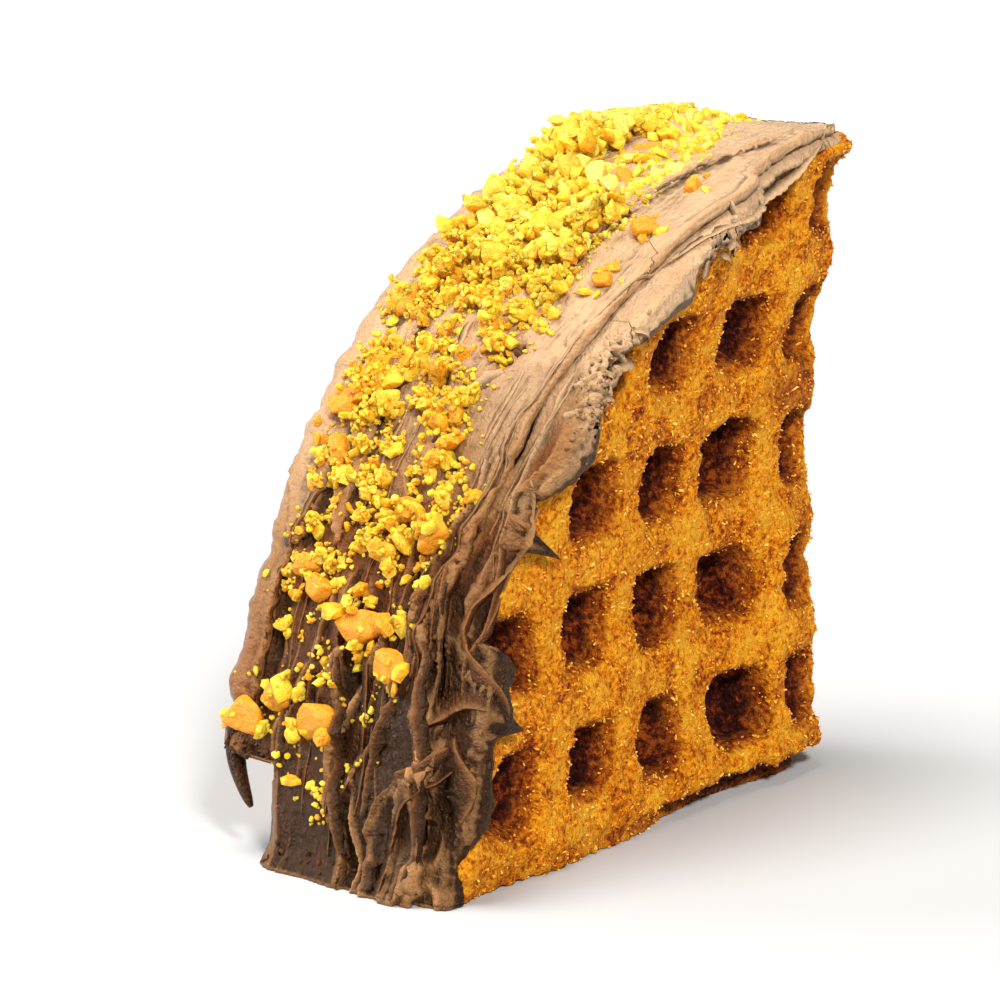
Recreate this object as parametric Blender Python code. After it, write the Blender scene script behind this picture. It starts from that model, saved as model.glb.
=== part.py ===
"""Quarter of a round waffle, folded along its dividing groove and filled with chocolate cream.

The waffle stands on its cut edge. Metres, +Z up. The front face looks along -Y, the fold is at +X,
and the round side, coated with cream and chopped nuts, runs from the foot at -X up to the fold.
While it is modelled, depth u is measured from the fold towards -X and height v up from the base.
"""
import math
import random

import bmesh
import bpy
import numpy as np
from mathutils import Euler, Matrix, Vector, noise

# Waffle plate
PITCH = 0.0175
COLUMNS = 5
ROWS = 5
FIRST_COLUMN = 0.0091
FIRST_ROW = 0.0123
PLATE_RADIUS = 0.0903
POCKET_REACH = 0.0974
POCKET_DEPTH = 0.0062
POCKET_RIM = 0.0056
POCKET_SHOULDER = 0.0052
POCKET_FLOOR = 0.0034
SHOULDER_DEPTH = 0.0012
CORNER_POWER = 5.0
GROOVE_HALF = 0.0021
GROOVE_DEPTH = 0.0036
CUT_WEB_HEIGHT = 0.0028
CUT_WEB_DEPTH = 0.0040
CUT_WEB_END = 0.062
CUT_WEB_FADE = 0.022
CUT_WEB_LEAST = 0.1
STRETCHED_COLUMN = 1
STRETCH = 1.22
LAYER_AT_FOLD = 0.0102
LAYER_AT_RIM = 0.0124

# Wedge that the folded plate opens into
FOLD_ROUND = 0.0100
FOLD_STRETCH = 0.006
OPEN_BASE = 0.01146
OPEN_PER_DEPTH = 0.113
OPEN_PER_HEIGHT = -0.209
OPEN_HEIGHT_SQUARED = 2.743
OPEN_TWIST = 1.257
BULGE_REACH = 0.022

# How much fuller than the wedge the plate stands beside the fold, in millimetres, by height
FOLD_BULGE = ((0, 2.6), (8, 3.6), (22, 4.0), (30, 4.6), (38, 4.2), (47, 1.8), (55, 4.2), (62, 1.6),
              (69, 2.8), (80, 2.2), (90, 2.4))

# Cream
CREAM_GAP = 0.0003
LAP_GAP = 0.0005
CORE_START = 0.0135
CORE_ROUND = 0.004
CORE_LEAST = 0.0009
COAT_THICKNESS = 0.0033
SKIRT_THICKNESS = 0.0016
LIP_HEIGHT = 0.0009
LIP_OVERHANG = 0.0012
LAP_THICKNESS = 0.0011
COAT_STEPS = 50
COAT_LINES = 17
COAT_TOP = math.radians(88.4)

# Corner that is missing from the rear layer at the foot of the round side
BROKEN_DEPTH = 0.0170
BROKEN_HEIGHT = 0.0135
BROKEN_WALL = 0.0118
BROKEN_CLEARANCE = 0.001

# How far the front face's edge wanders from the wedge, by angle up the round side
RIM_WANDER = ((0, -2.0), (4, -0.5), (8, 0.0), (12, 0.5), (16, 0.0), (20, -1.2), (25, -2.2), (29, -1.8),
              (33, -2.0), (36, -1.0), (40, 0.2), (44, -0.8), (47, -2.0), (52, -0.8), (56, 0.0), (62, 0.3),
              (68, -0.3), (75, -1.0), (84, 0.0), (90, 0.0))

# Front pockets that sit off their place: column and row, shift along and up, and lean
FRONT_SHIFTS = {(4, 0): (1.1, 0.0, 0.2), (3, 0): (-0.8, 0.4, 0.3), (1, 0): (-1.8, 0.0, -0.1),
                (4, 1): (-1.2, 0.2, -0.2), (1, 2): (1.2, 0.0, 0.1), (2, 3): (1.2, -0.5, 0.1),
                (1, 1): (0.3, 0.3, -0.15)}

# Ridge that parts the coat from the thinner skirt: angle up the round side, place across
LIP_LINE = ((0, -14.9), (10, -15.4), (17, -14.5), (24, -13.0), (31, -14.3), (37, -15.9), (42, -15.0),
            (50, -17.5), (59, -19.2), (68, -22.2), (81, -19.6), (90, -9.0))

# Drip under the end of the rear lap: angle, place across and radius at its root, and at its tip
DRIP = ((10.2, 19.6, 1.5), (5.2, 17.4, 0.45))
DRIP_SIDES = 8

# Laps over the two faces: angle up the round side, reach and spread in degrees
FRONT_LAPS = ((2, 1.2, 2.0), (6, 2.2, 2.0), (9.3, 5.2, 1.6), (12, 2.4, 1.6), (15.6, 7.2, 1.5),
              (18.5, 2.4, 1.5), (28.8, 6.2, 0.9), (39, 2.2, 1.8), (53.9, 4.6, 1.6), (60, 1.6, 2.5),
              (65, 2.4, 2.0))
REAR_LAPS = ((14, 3.2, 2.5), (23, 2.2, 3.0), (33, 4.4, 1.8), (44, 2.6, 3.0), (57, 3.8, 2.2),
             (70, 2.4, 3.0))

# Sheets of cream that the spatula left: side that lies higher (1 rear, -1 front), step, width of the
# raised strip, then the edge's points as angle up the round side and place across
SHEETS = ((1, 1.3, 5.0, ((1, -3.1), (4, -1.9), (9, 0.3), (13, 0.9), (15.5, 1.3), (18, 2.2), (23, 3.0))),
          (1, 1.3, 4.0, ((14, 15.6), (17, 15.3), (20, 15.4), (23, 15.4), (27, 14.5), (32.5, 13.1))),
          (-1, 1.0, 3.0, ((6.5, -0.9), (8, -1.7), (10.7, -3.9), (13, -6.8), (15.3, -8.7), (20, -9.3),
                          (23.5, -8.9))),
          (1, 1.3, 2.6, ((14.3, -13.9), (16.4, -12.7), (19, -13.1), (21.5, -11.3))),
          (1, 1.1, 2.4, ((19.2, -18.5), (21, -16.7), (24.7, -16.9), (27.6, -18.9), (30.2, -19.4),
                         (32.7, -19.1))),
          (-1, 1.1, 3.0, ((-0.5, -7.5), (2.3, -6.9), (5, -6.7), (7.6, -8.2), (9.3, -12.0), (11.5, -16.0))),
          (-1, 1.0, 2.6, ((0, -10.8), (2.7, -10.5), (7.3, -11.0), (9.8, -13.5), (11.3, -16.0))),
          (1, 1.2, 2.4, ((0, -13.3), (4.1, -14.8), (7.1, -14.9), (8.1, -13.9))),
          (-1, 1.1, 4.0, ((35, -1.0), (38, -2.4), (40, -3.4), (43, -3.7), (44.7, -5.6))),
          (-1, 0.9, 4.0, ((42.7, 0.3), (46.6, 1.7), (50, 1.7), (54, 0.6))),
          (1, 0.8, 4.0, ((56.4, -5.7), (61.3, -7.7), (70, -10.9), (76, -13.9))),
          (1, 0.8, 3.0, ((24, 7.5), (32, 8.6), (42, 9.8), (50, 12.0))),
          (-1, 0.9, 3.0, ((58, 13.5), (66, 12.0), (74, 9.0), (82, 5.0))))
STEP_WIDTH = 0.9

# Hollows torn in the coat: angle, place across, depth, and spread along in degrees and across
HOLLOWS = ((44.7, -6.3, 2.6, 1.3, 1.3), (26.2, -6.2, 2.0, 1.5, 0.9), (24.6, -10.2, 1.3, 3.2, 0.7),
           (15.4, 0.0, 1.2, 3.0, 0.9), (13.9, -21.0, 1.2, 1.5, 2.4), (36.5, -19.0, 0.7, 3.0, 1.6),
           (18.5, 13.8, 1.3, 2.6, 0.9))

# Chopped nuts: the largest by angle, place across and length, the rest by rule
LARGE_NUTS = ((11.6, 17.0, 6.4), (12.6, 4.0, 6.2), (20.4, -0.6, 7.0), (17.9, -7.4, 5.4), (22.8, 7.2, 4.4),
              (24.3, 10.8, 4.2), (13.6, 11.6, 4.6), (48.8, 15.0, 5.6), (38.4, 15.0, 5.2), (28.2, -8.6, 5.0),
              (60.0, -13.2, 3.8), (66.4, -13.2, 4.4), (66.0, 5.2, 5.4), (58.9, 9.5, 5.2), (34.4, 13.2, 4.6),
              (67.5, -1.0, 5.0), (73.5, 3.0, 5.4), (53.5, -13.6, 3.0))
SCATTERED_NUTS = 66
NUT_SEED = 38
NUT_BAND_FRONT = ((5, 0.0), (15, -9.5), (27, -9.5), (32, -12.5), (37, -8.0), (43, -2.5), (48, -8.0),
                  (56, -5.5), (68, -11.5), (80, -10.0))
NUT_BAND_REAR = ((5, 6.0), (12, 16.0), (26, 15.0), (48, 18.5), (60, 17.5), (74, 15.0), (80, 11.0))
NUT_DENSITY = ((5, 0.08), (12, 0.22), (24, 0.40), (28, 0.85), (48, 0.90), (56, 1.0), (80, 1.0))

MM = 0.001
POCKET_STEPS = ((-POCKET_RIM, 0.0), (-POCKET_SHOULDER, SHOULDER_DEPTH), (-POCKET_FLOOR, POCKET_DEPTH),
                (POCKET_FLOOR, POCKET_DEPTH), (POCKET_SHOULDER, SHOULDER_DEPTH), (POCKET_RIM, 0.0))


def clear_scene():
    for thing in list(bpy.data.objects):
        bpy.data.objects.remove(thing, do_unlink=True)


def new_collection(name):
    collection = bpy.data.collections.new(name)
    bpy.context.scene.collection.children.link(collection)
    return collection


def food_material(name, colour, roughness):
    material = bpy.data.materials.new(name)
    material.use_nodes = True
    shader = material.node_tree.nodes["Principled BSDF"]
    shader.inputs["Base Color"].default_value = (*colour, 1.0)
    shader.inputs["Roughness"].default_value = roughness
    shader.inputs["Metallic"].default_value = 0.0
    return material


def loft(name, rings, collection, material=None):
    """One closed body through rings of as many points each, capped at the first and the last."""
    body = bmesh.new()
    layers = [[body.verts.new(point) for point in ring] for ring in rings]
    count = len(layers[0])
    for lower, upper in zip(layers, layers[1:]):
        for k in range(count):
            following = (k + 1) % count
            body.faces.new((lower[k], lower[following], upper[following], upper[k]))
    body.faces.new(list(reversed(layers[0])))
    body.faces.new(layers[-1])
    bmesh.ops.remove_doubles(body, verts=body.verts, dist=1e-7)
    bmesh.ops.triangulate(body, faces=body.faces)
    bmesh.ops.recalc_face_normals(body, faces=body.faces)
    mesh = bpy.data.meshes.new(name)
    body.to_mesh(mesh)
    body.free()
    made = bpy.data.objects.new(name, mesh)
    collection.objects.link(made)
    if material:
        mesh.materials.append(material)
    return made


def hide_cutter(cutter):
    cutter.hide_render = True
    cutter.display_type = "WIRE"


def cut(target, operation, cutter, solver="EXACT"):
    modifier = target.modifiers.new(operation.lower(), "BOOLEAN")
    modifier.operation = operation
    modifier.solver = solver
    modifier.object = cutter


def half_width(u, v):
    """Half of the folded waffle's thickness: a wedge that flares, rounded over at the fold."""
    spread = OPEN_BASE + OPEN_PER_DEPTH * u + OPEN_PER_HEIGHT * v + OPEN_TWIST * u * v
    spread += OPEN_HEIGHT_SQUARED * v * v
    spread += across_curve(FOLD_BULGE, v / MM) * MM * math.exp(-(abs(u) / BULGE_REACH) ** 3)
    rounding = min(1.0, max(0.0, 1.0 - u / FOLD_ROUND))
    return spread * math.sqrt(1.0 - rounding * rounding)


def across_curve(curve, degrees):
    angles, values = zip(*curve)
    return float(np.interp(degrees, angles, values))


def front_half(u, v):
    """Half thickness to the front face, whose edge wanders."""
    degrees = math.degrees(math.atan2(v, u)) if u or v else 0.0
    nearness = (math.hypot(u, v) / PLATE_RADIUS) ** 4
    fold_fade = min(1.0, u / FOLD_ROUND)
    return half_width(u, v) + across_curve(RIM_WANDER, degrees) * MM * nearness * fold_fade


def face_point(s, v):
    """A point of the outer face, s along the plate from the fold, to the front where s is negative."""
    u = math.hypot(s, FOLD_STRETCH) - FOLD_STRETCH
    if s < 0.0:
        return Vector((-u, -front_half(u, v), v))
    return Vector((-u, half_width(u, v), v))


def along_plate(u):
    """Distance along the plate that a depth u from the fold stands for."""
    return math.sqrt((u + FOLD_STRETCH) ** 2 - FOLD_STRETCH ** 2)


def face_normal(s, v):
    step = 0.0004
    across = face_point(s + step, v) - face_point(s - step, v)
    upward = face_point(s, v + step) - face_point(s, v - step)
    return across.cross(upward).normalized()


def sideways(s, v, scale, amount, slot):
    """Slow wander of the plate's surface."""
    place = Vector((s / scale, v / scale, 3.7 * slot))
    return noise.noise(place) * amount


def plate_lines():
    """Grid lines along the plate and up it, each with the index of its pocket and its step there."""
    along = [(0.0, None, GROOVE_DEPTH), (GROOVE_HALF, None, GROOVE_DEPTH * 0.8)]
    along.append((GROOVE_HALF + 0.0014, None, 0.0))
    for column in range(COLUMNS):
        centre = along_plate(FIRST_COLUMN + column * PITCH)
        along += [(centre + offset, column, depth) for offset, depth in POCKET_STEPS]
    last = along_plate(PLATE_RADIUS + 0.004)
    along.append((last, None, 0.0))
    upward = [(0.0, None, CUT_WEB_DEPTH), (CUT_WEB_HEIGHT, None, CUT_WEB_DEPTH)]
    upward.append((CUT_WEB_HEIGHT + 0.0008, None, 0.0))
    for row in range(ROWS):
        centre = FIRST_ROW + row * PITCH
        upward += [(centre + offset, row, depth) for offset, depth in POCKET_STEPS]
    upward.append((PLATE_RADIUS + 0.004, None, 0.0))
    return along, upward


def has_pocket(column, row):
    far_u = FIRST_COLUMN + column * PITCH + POCKET_RIM
    far_v = FIRST_ROW + row * PITCH + POCKET_RIM
    return math.hypot(far_u, far_v) < POCKET_REACH


def pocket_shift(side, column, row):
    """How far each pocket sits off its place, its lean and how much its size differs."""
    draw = random.Random(1000 * (side + 2) + 31 * column + row)
    shift_s, shift_v = draw.uniform(-0.6, 0.6), draw.uniform(-0.6, 0.6)
    lean = draw.uniform(-0.08, 0.08)
    if side < 0:
        shift_s, shift_v, lean = FRONT_SHIFTS.get((column, row), (shift_s * 0.4, shift_v * 0.4, lean))
    return shift_s * MM, shift_v * MM, lean, draw.uniform(0.95, 1.07)


def plate_point(side, line, level):
    """A point of the moulded face: on a rib, on a pocket's rim, on its wall or floor, or in a groove."""
    s, column, depth_along = line
    v, row, depth_up = level
    if column is not None and row is not None and has_pocket(column, row):
        depth = min(depth_along, depth_up)
        centre_s = along_plate(FIRST_COLUMN + column * PITCH)
        centre_v = FIRST_ROW + row * PITCH
        shift_s, shift_v, lean, size = pocket_shift(side, column, row)
        off_s, off_v = s - centre_s, v - centre_v
        cornering = min(abs(off_s), abs(off_v)) / max(abs(off_s), abs(off_v), 1e-9)
        size *= (1.0 + cornering ** CORNER_POWER) ** (-1.0 / CORNER_POWER)
        widen = STRETCH if column == STRETCHED_COLUMN else 1.0
        s = centre_s + (off_s * widen - lean * off_v) * size + shift_s
        v = centre_v + off_v * size + shift_v
    elif row is None and depth_up:
        depth = depth_up * min(1.0, max(CUT_WEB_LEAST, (CUT_WEB_END - s) / CUT_WEB_FADE))
    elif column is None and depth_along:
        depth = depth_along
    else:
        depth = 0.0
    wear = abs(sideways(side * s, v, 0.009, 0.9 * MM, side))
    wear += abs(sideways(side * s, v, 0.004, 0.4 * MM, side + 5))
    if v > 0.0:
        v += sideways(side * s, v, 0.013, 0.9 * MM, side + 9)
        v = max(v, 0.0006)
    signed = side * s
    point = face_point(signed, v) - face_normal(signed, v) * (depth + wear)
    if v == 0.0:
        point.z = 0.0
    return point


def plate_ring(level, along):
    front = [plate_point(-1, line, level) for line in reversed(along[1:])]
    middle = [plate_point(1, along[0], level)]
    rear = [plate_point(1, line, level) for line in along[1:]]
    return front + middle + rear


def core_half(u, v):
    """Half thickness of the cream between the two layers, closing to a round end near the fold."""
    layer = LAYER_AT_FOLD + (LAYER_AT_RIM - LAYER_AT_FOLD) * u / PLATE_RADIUS
    room = max(half_width(u, v) - layer, CORE_LEAST)
    rounding = min(1.0, max(0.0, 1.0 - (u - CORE_START) / CORE_ROUND))
    return room * math.sqrt(max(0.0, 1.0 - rounding * rounding))


def core_rings(extra, reach):
    depths = [CORE_START + CORE_ROUND * (1.0 - math.cos(math.radians(a))) for a in (25, 50, 90)]
    depths += list(np.linspace(CORE_START + CORE_ROUND, reach, 12)[1:])
    rings = []
    for v in np.linspace(0.0, reach, 13):
        front = [Vector((-u, -core_half(u, v) - extra, v)) for u in depths]
        rear = [Vector((-u, core_half(u, v) + extra, v)) for u in reversed(depths)]
        tip = [Vector((-CORE_START + extra, 0.0, v))]
        rings.append(tip + front + rear)
    for point in rings[0]:
        point.z = -extra * 4.0
    return rings


def arc_cutter(name, radius, collection):
    """A round plate lying across Y, which the square plate is trimmed by."""
    lying = (math.pi / 2.0, 0.0, 0.0)
    bpy.ops.mesh.primitive_cylinder_add(vertices=180, radius=radius, depth=0.12, rotation=lying)
    made = bpy.context.object
    made.name = name
    for held in list(made.users_collection):
        held.objects.unlink(made)
    collection.objects.link(made)
    hide_cutter(made)
    return made


def lap_reach(laps, degrees):
    """How far the cream laps over a face at this angle: a narrow border with lobes."""
    lobes = [reach * math.exp(-((degrees - angle) / spread) ** 2) for angle, reach, spread in laps]
    return (0.8 + max(lobes)) * MM


def sheet_rise(degrees, y):
    """Height that the spread sheets add here: full at a sheet's edge, less further on, none beyond it."""
    total = 0.0
    for side, step, strip, points in SHEETS:
        angles = [angle for angle, _ in points]
        past = max(angles[0] - degrees, degrees - angles[-1], 0.0)
        inside = side * (y / MM - across_curve(points, degrees))
        edge = min(1.0, max(0.0, 0.5 + inside / STEP_WIDTH))
        total += step * edge * math.exp(-max(inside, 0.0) / strip) * math.exp(-(past / 2.0) ** 2)
    return total * MM


def coat_height(degrees, y):
    """Thickness of the coat over the plate's round edge, with its sheets and hollows."""
    height = COAT_THICKNESS - 0.0006 + sheet_rise(degrees, y)
    for angle, place, fall, along, across in HOLLOWS:
        far = ((degrees - angle) / along) ** 2 + ((y / MM - place) / across) ** 2
        height -= fall * MM * math.exp(-far)
    height += noise.noise(Vector((degrees / 6.0, y * 160.0, 1.3))) * 0.5 * MM
    return max(height, 0.0011)


def coat_ring(degrees):
    """Section of the coat across the round side, from the front lap over the ridge to the rear lap."""
    angle = math.radians(degrees)
    depth, rise = PLATE_RADIUS * math.cos(angle), PLATE_RADIUS * math.sin(angle)
    half, front = half_width(depth, rise), front_half(depth, rise)
    taper = min(1.0, max(0.35, (90.0 - degrees) / 9.0))
    broken = BROKEN_HEIGHT > rise
    rear = BROKEN_WALL if broken else half
    front_lap = lap_reach(FRONT_LAPS, degrees) * taper
    rear_lap = 0.0 if broken else lap_reach(REAR_LAPS, degrees) * taper
    inner = PLATE_RADIUS + CREAM_GAP
    lip = max(across_curve(LIP_LINE, degrees) * MM, -front - 0.0012)
    groove = max(lip + LIP_OVERHANG, -front + 0.0012)
    crest = coat_height(degrees, lip + 0.001) * taper
    foot = 0.0016 * math.exp(-(degrees / 1.1) ** 2)
    edge, front_edge = half + LAP_GAP, front + LAP_GAP

    def beside(radius, half_at):
        """Place of a face, with the lap's gap, at another radius on this section."""
        return half_at(radius * math.cos(angle), radius * math.sin(angle)) + LAP_GAP

    front_end, rear_end = inner - CREAM_GAP - front_lap, inner - CREAM_GAP - rear_lap
    front_middle, rear_middle = inner - 0.4 * front_lap, inner - 0.4 * rear_lap
    skirt = inner + SKIRT_THICKNESS * taper
    quarter = -front_edge + 0.25 * (groove + front_edge)
    most = -front_edge + 0.62 * (groove + front_edge)
    section = [(front_end, -beside(front_end, front_half)),
               (front_end, -beside(front_end, front_half) - LAP_THICKNESS * 0.6),
               (front_middle, -beside(front_middle, front_half) - LAP_THICKNESS),
               (inner + SKIRT_THICKNESS * 0.6 * taper, -front_edge - 0.7 * LAP_THICKNESS),
               (skirt + sheet_rise(degrees, quarter) * taper, quarter),
               (skirt + 0.0002 + sheet_rise(degrees, most) * taper, most),
               (inner + SKIRT_THICKNESS * taper * 0.75, groove),
               (inner + crest + 0.2 * LIP_HEIGHT, lip - 0.2 * LIP_OVERHANG),
               (inner + crest + LIP_HEIGHT, lip)]
    start, stop = lip + 0.0013, rear - 0.0016
    for y in np.linspace(start, stop, COAT_LINES):
        section.append((inner + coat_height(degrees, y) * taper, float(y)))
    rim = coat_height(degrees, stop) * taper
    section.append((inner + 0.72 * rim, rear - 0.0002))
    if broken:
        outside = rear + LAP_GAP + 0.8 * LAP_THICKNESS
        section += [(inner + 0.3 * rim, outside), (inner - 0.0002, outside), (inner - 0.0004, rear + LAP_GAP)]
        section += [(inner - 0.0003, rear), (inner - 0.0001, rear - 0.0005)]
    else:
        section.append((inner + 0.3 * rim, edge + 0.8 * LAP_THICKNESS))
        section.append((rear_middle, beside(rear_middle, half_width) + LAP_THICKNESS))
        section.append((rear_end, beside(rear_end, half_width) + LAP_THICKNESS * 0.6))
        section.append((rear_end, beside(rear_end, half_width)))
        section.append((inner, edge))
    section += [(inner, 0.004), (inner, -0.007), (inner, -front_edge)]
    ring = []
    for radius, y in section:
        reach = radius + (foot if radius > inner + 0.0005 else 0.0)
        ring.append(Vector((-reach * math.cos(angle), y, max(reach * math.sin(angle), 0.0))))
    return ring


def coat_angles():
    """Angles of the coat's sections, with one close pair where the broken corner ends."""
    broken = math.degrees(math.asin(BROKEN_HEIGHT / PLATE_RADIUS))
    angles = [a for a in np.linspace(0.0, math.degrees(COAT_TOP), COAT_STEPS) if abs(a - broken) > 0.7]
    return sorted(angles + [broken - 0.25, broken + 0.25])


def nut_mesh(length, detail, draw):
    """One chopped piece: a ball with few sides, flattened, stretched and chipped."""
    piece = bmesh.new()
    bmesh.ops.create_icosphere(piece, subdivisions=detail, radius=length / 2.0)
    breadth, height = draw.uniform(0.62, 0.9), draw.uniform(0.5, 0.72)
    for vert in piece.verts:
        vert.co *= draw.uniform(0.86, 1.14)
        vert.co.y *= breadth
        vert.co.z *= height
    bmesh.ops.triangulate(piece, faces=piece.faces)
    mesh = bpy.data.meshes.new("nut")
    piece.to_mesh(mesh)
    piece.free()
    return mesh, height


def nut_places(draw):
    """Places of the scattered pieces: spread over the nut band as densely as the cream shows there."""
    kept = list(LARGE_NUTS)
    wanted = len(LARGE_NUTS) + SCATTERED_NUTS
    per_degree = PLATE_RADIUS / MM * math.radians(1.0)
    for _ in range(20000):
        degrees = draw.uniform(5.0, 82.0)
        if draw.random() > across_curve(NUT_DENSITY, degrees):
            continue
        front, rear = across_curve(NUT_BAND_FRONT, degrees), across_curve(NUT_BAND_REAR, degrees)
        across = front + (rear - front) * draw.random()
        length = draw.uniform(2.3, 4.4)
        clear = True
        for other, side, size in kept:
            gap = math.hypot((degrees - other) * per_degree, across - side)
            clear = clear and gap > 0.46 * (length + size)
        if clear:
            kept.append((degrees, across, length))
        if len(kept) == wanted:
            break
    return kept


def add_nuts(collection):
    draw = random.Random(NUT_SEED)
    for number, (degrees, across, length) in enumerate(nut_places(draw)):
        detail = 2 if length > 5.8 else 1
        mesh, height = nut_mesh(length * MM, detail, draw)
        radius = PLATE_RADIUS + CREAM_GAP + coat_height(degrees, across * MM) + 0.18 * length * height * MM
        angle = math.radians(degrees)
        place = Vector((-radius * math.cos(angle), across * MM, radius * math.sin(angle)))
        tilt = (draw.uniform(-0.3, 0.3), draw.uniform(-0.3, 0.3), draw.uniform(0.0, math.tau))
        lying = Euler(tilt).to_matrix().to_4x4()
        outward = Matrix.Rotation(angle - math.pi / 2.0, 4, "Y")
        piece = bpy.data.objects.new(f"nut_{number:03d}", mesh)
        mesh.transform(Matrix.Translation(place) @ outward @ lying)
        collection.objects.link(piece)


def add_drip(collection):
    """A hooked drip: a thin cone from the rear lap's end down to its tip."""
    ends = []
    for degrees, across, _ in DRIP:
        angle, radius = math.radians(degrees), PLATE_RADIUS + COAT_THICKNESS * 0.5
        ends.append(Vector((-radius * math.cos(angle), across * MM, radius * math.sin(angle))))
    axis = ends[1] - ends[0]
    cone = bmesh.new()
    root, tip = DRIP[0][2] * MM, DRIP[1][2] * MM
    bmesh.ops.create_cone(
        cone, cap_ends=True, segments=DRIP_SIDES, radius1=root, radius2=tip, depth=axis.length)
    bmesh.ops.triangulate(cone, faces=cone.faces)
    turned = axis.to_track_quat("Z", "Y").to_matrix().to_4x4()
    cone.transform(Matrix.Translation((ends[0] + ends[1]) / 2.0) @ turned)
    mesh = bpy.data.meshes.new("drip")
    cone.to_mesh(mesh)
    cone.free()
    collection.objects.link(bpy.data.objects.new("drip", mesh))


def apply_modifiers(thing):
    evaluated = thing.evaluated_get(bpy.context.evaluated_depsgraph_get())
    mesh = bpy.data.meshes.new_from_object(evaluated)
    thing.modifiers.clear()
    thing.data = mesh


def drop_scraps(thing):
    """Keeps the largest connected body of a mesh."""
    body = bmesh.new()
    body.from_mesh(thing.data)
    left = set(body.verts)
    groups = []
    while left:
        queue = [left.pop()]
        group = set(queue)
        while queue:
            for edge in queue.pop().link_edges:
                for vert in edge.verts:
                    if vert in left:
                        left.discard(vert)
                        group.add(vert)
                        queue.append(vert)
        groups.append(group)
    groups.sort(key=len)
    for group in groups[:-1]:
        bmesh.ops.delete(body, geom=list(group), context="VERTS")
    body.to_mesh(thing.data)
    body.free()


def build_waffle(parts, cutters, material):
    along, upward = plate_lines()
    rings = [plate_ring(level, along) for level in upward]
    waffle = loft("waffle", rings, parts, material)
    cut(waffle, "INTERSECT", arc_cutter("plate_edge", PLATE_RADIUS, cutters))
    void = loft("filling_space", core_rings(CREAM_GAP, PLATE_RADIUS + 0.01), cutters)
    hide_cutter(void)
    cut(waffle, "DIFFERENCE", void)
    bpy.ops.mesh.primitive_cube_add(size=1.0)
    broken = bpy.context.object
    broken.name = "broken_corner"
    for held in list(broken.users_collection):
        held.objects.unlink(broken)
    cutters.objects.link(broken)
    hide_cutter(broken)
    size = Vector((BROKEN_DEPTH * 2.0, 0.06, (BROKEN_HEIGHT + BROKEN_CLEARANCE) * 2.0))
    middle = Vector((-PLATE_RADIUS, 0.03 + 0.002, 0.0))
    broken.data.transform(Matrix.Translation(middle) @ Matrix.Diagonal(size).to_4x4())
    cut(waffle, "DIFFERENCE", broken)
    apply_modifiers(waffle)
    drop_scraps(waffle)
    return waffle


def build_cream(parts, cutters, material):
    core = loft("cream_core", core_rings(0.0, PLATE_RADIUS + 0.01), cutters)
    cut(core, "INTERSECT", arc_cutter("core_edge", PLATE_RADIUS + 0.0009, cutters))
    apply_modifiers(core)
    cream = loft("chocolate_cream", [coat_ring(degrees) for degrees in coat_angles()], parts, material)
    joined = new_collection("joined")
    cutters.objects.unlink(core)
    joined.objects.link(core)
    add_nuts(joined)
    add_drip(joined)
    union = cream.modifiers.new("union", "BOOLEAN")
    union.operation = "UNION"
    union.operand_type = "COLLECTION"
    union.collection = joined
    union.solver = "EXACT"
    apply_modifiers(cream)
    for thing in list(joined.objects):
        bpy.data.objects.remove(thing, do_unlink=True)
    bpy.data.collections.remove(joined)
    drop_scraps(cream)
    return cream


def stand_on_origin(things):
    """Moves the origin to the middle of the base."""
    corners = [vert.co for thing in things for vert in thing.data.vertices]
    low = [min(corner[k] for corner in corners) for k in range(3)]
    high = [max(corner[k] for corner in corners) for k in range(3)]
    shift = Vector((-(low[0] + high[0]) / 2.0, -(low[1] + high[1]) / 2.0, -low[2]))
    for thing in things:
        thing.data.transform(Matrix.Translation(shift))


def main():
    clear_scene()
    parts = new_collection("folded_waffle")
    cutters = new_collection("cutters")
    crust = food_material("golden_crust", (0.66, 0.29, 0.035), 0.75)
    chocolate = food_material("chocolate_cream", (0.12, 0.055, 0.03), 0.4)
    waffle = build_waffle(parts, cutters, crust)
    cream = build_cream(parts, cutters, chocolate)
    stand_on_origin([waffle, cream])


main()
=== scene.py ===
import math
import random

import bpy
import numpy as np
from mathutils import Euler, Matrix, Vector, noise
from mathutils.bvhtree import BVHTree


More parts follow.
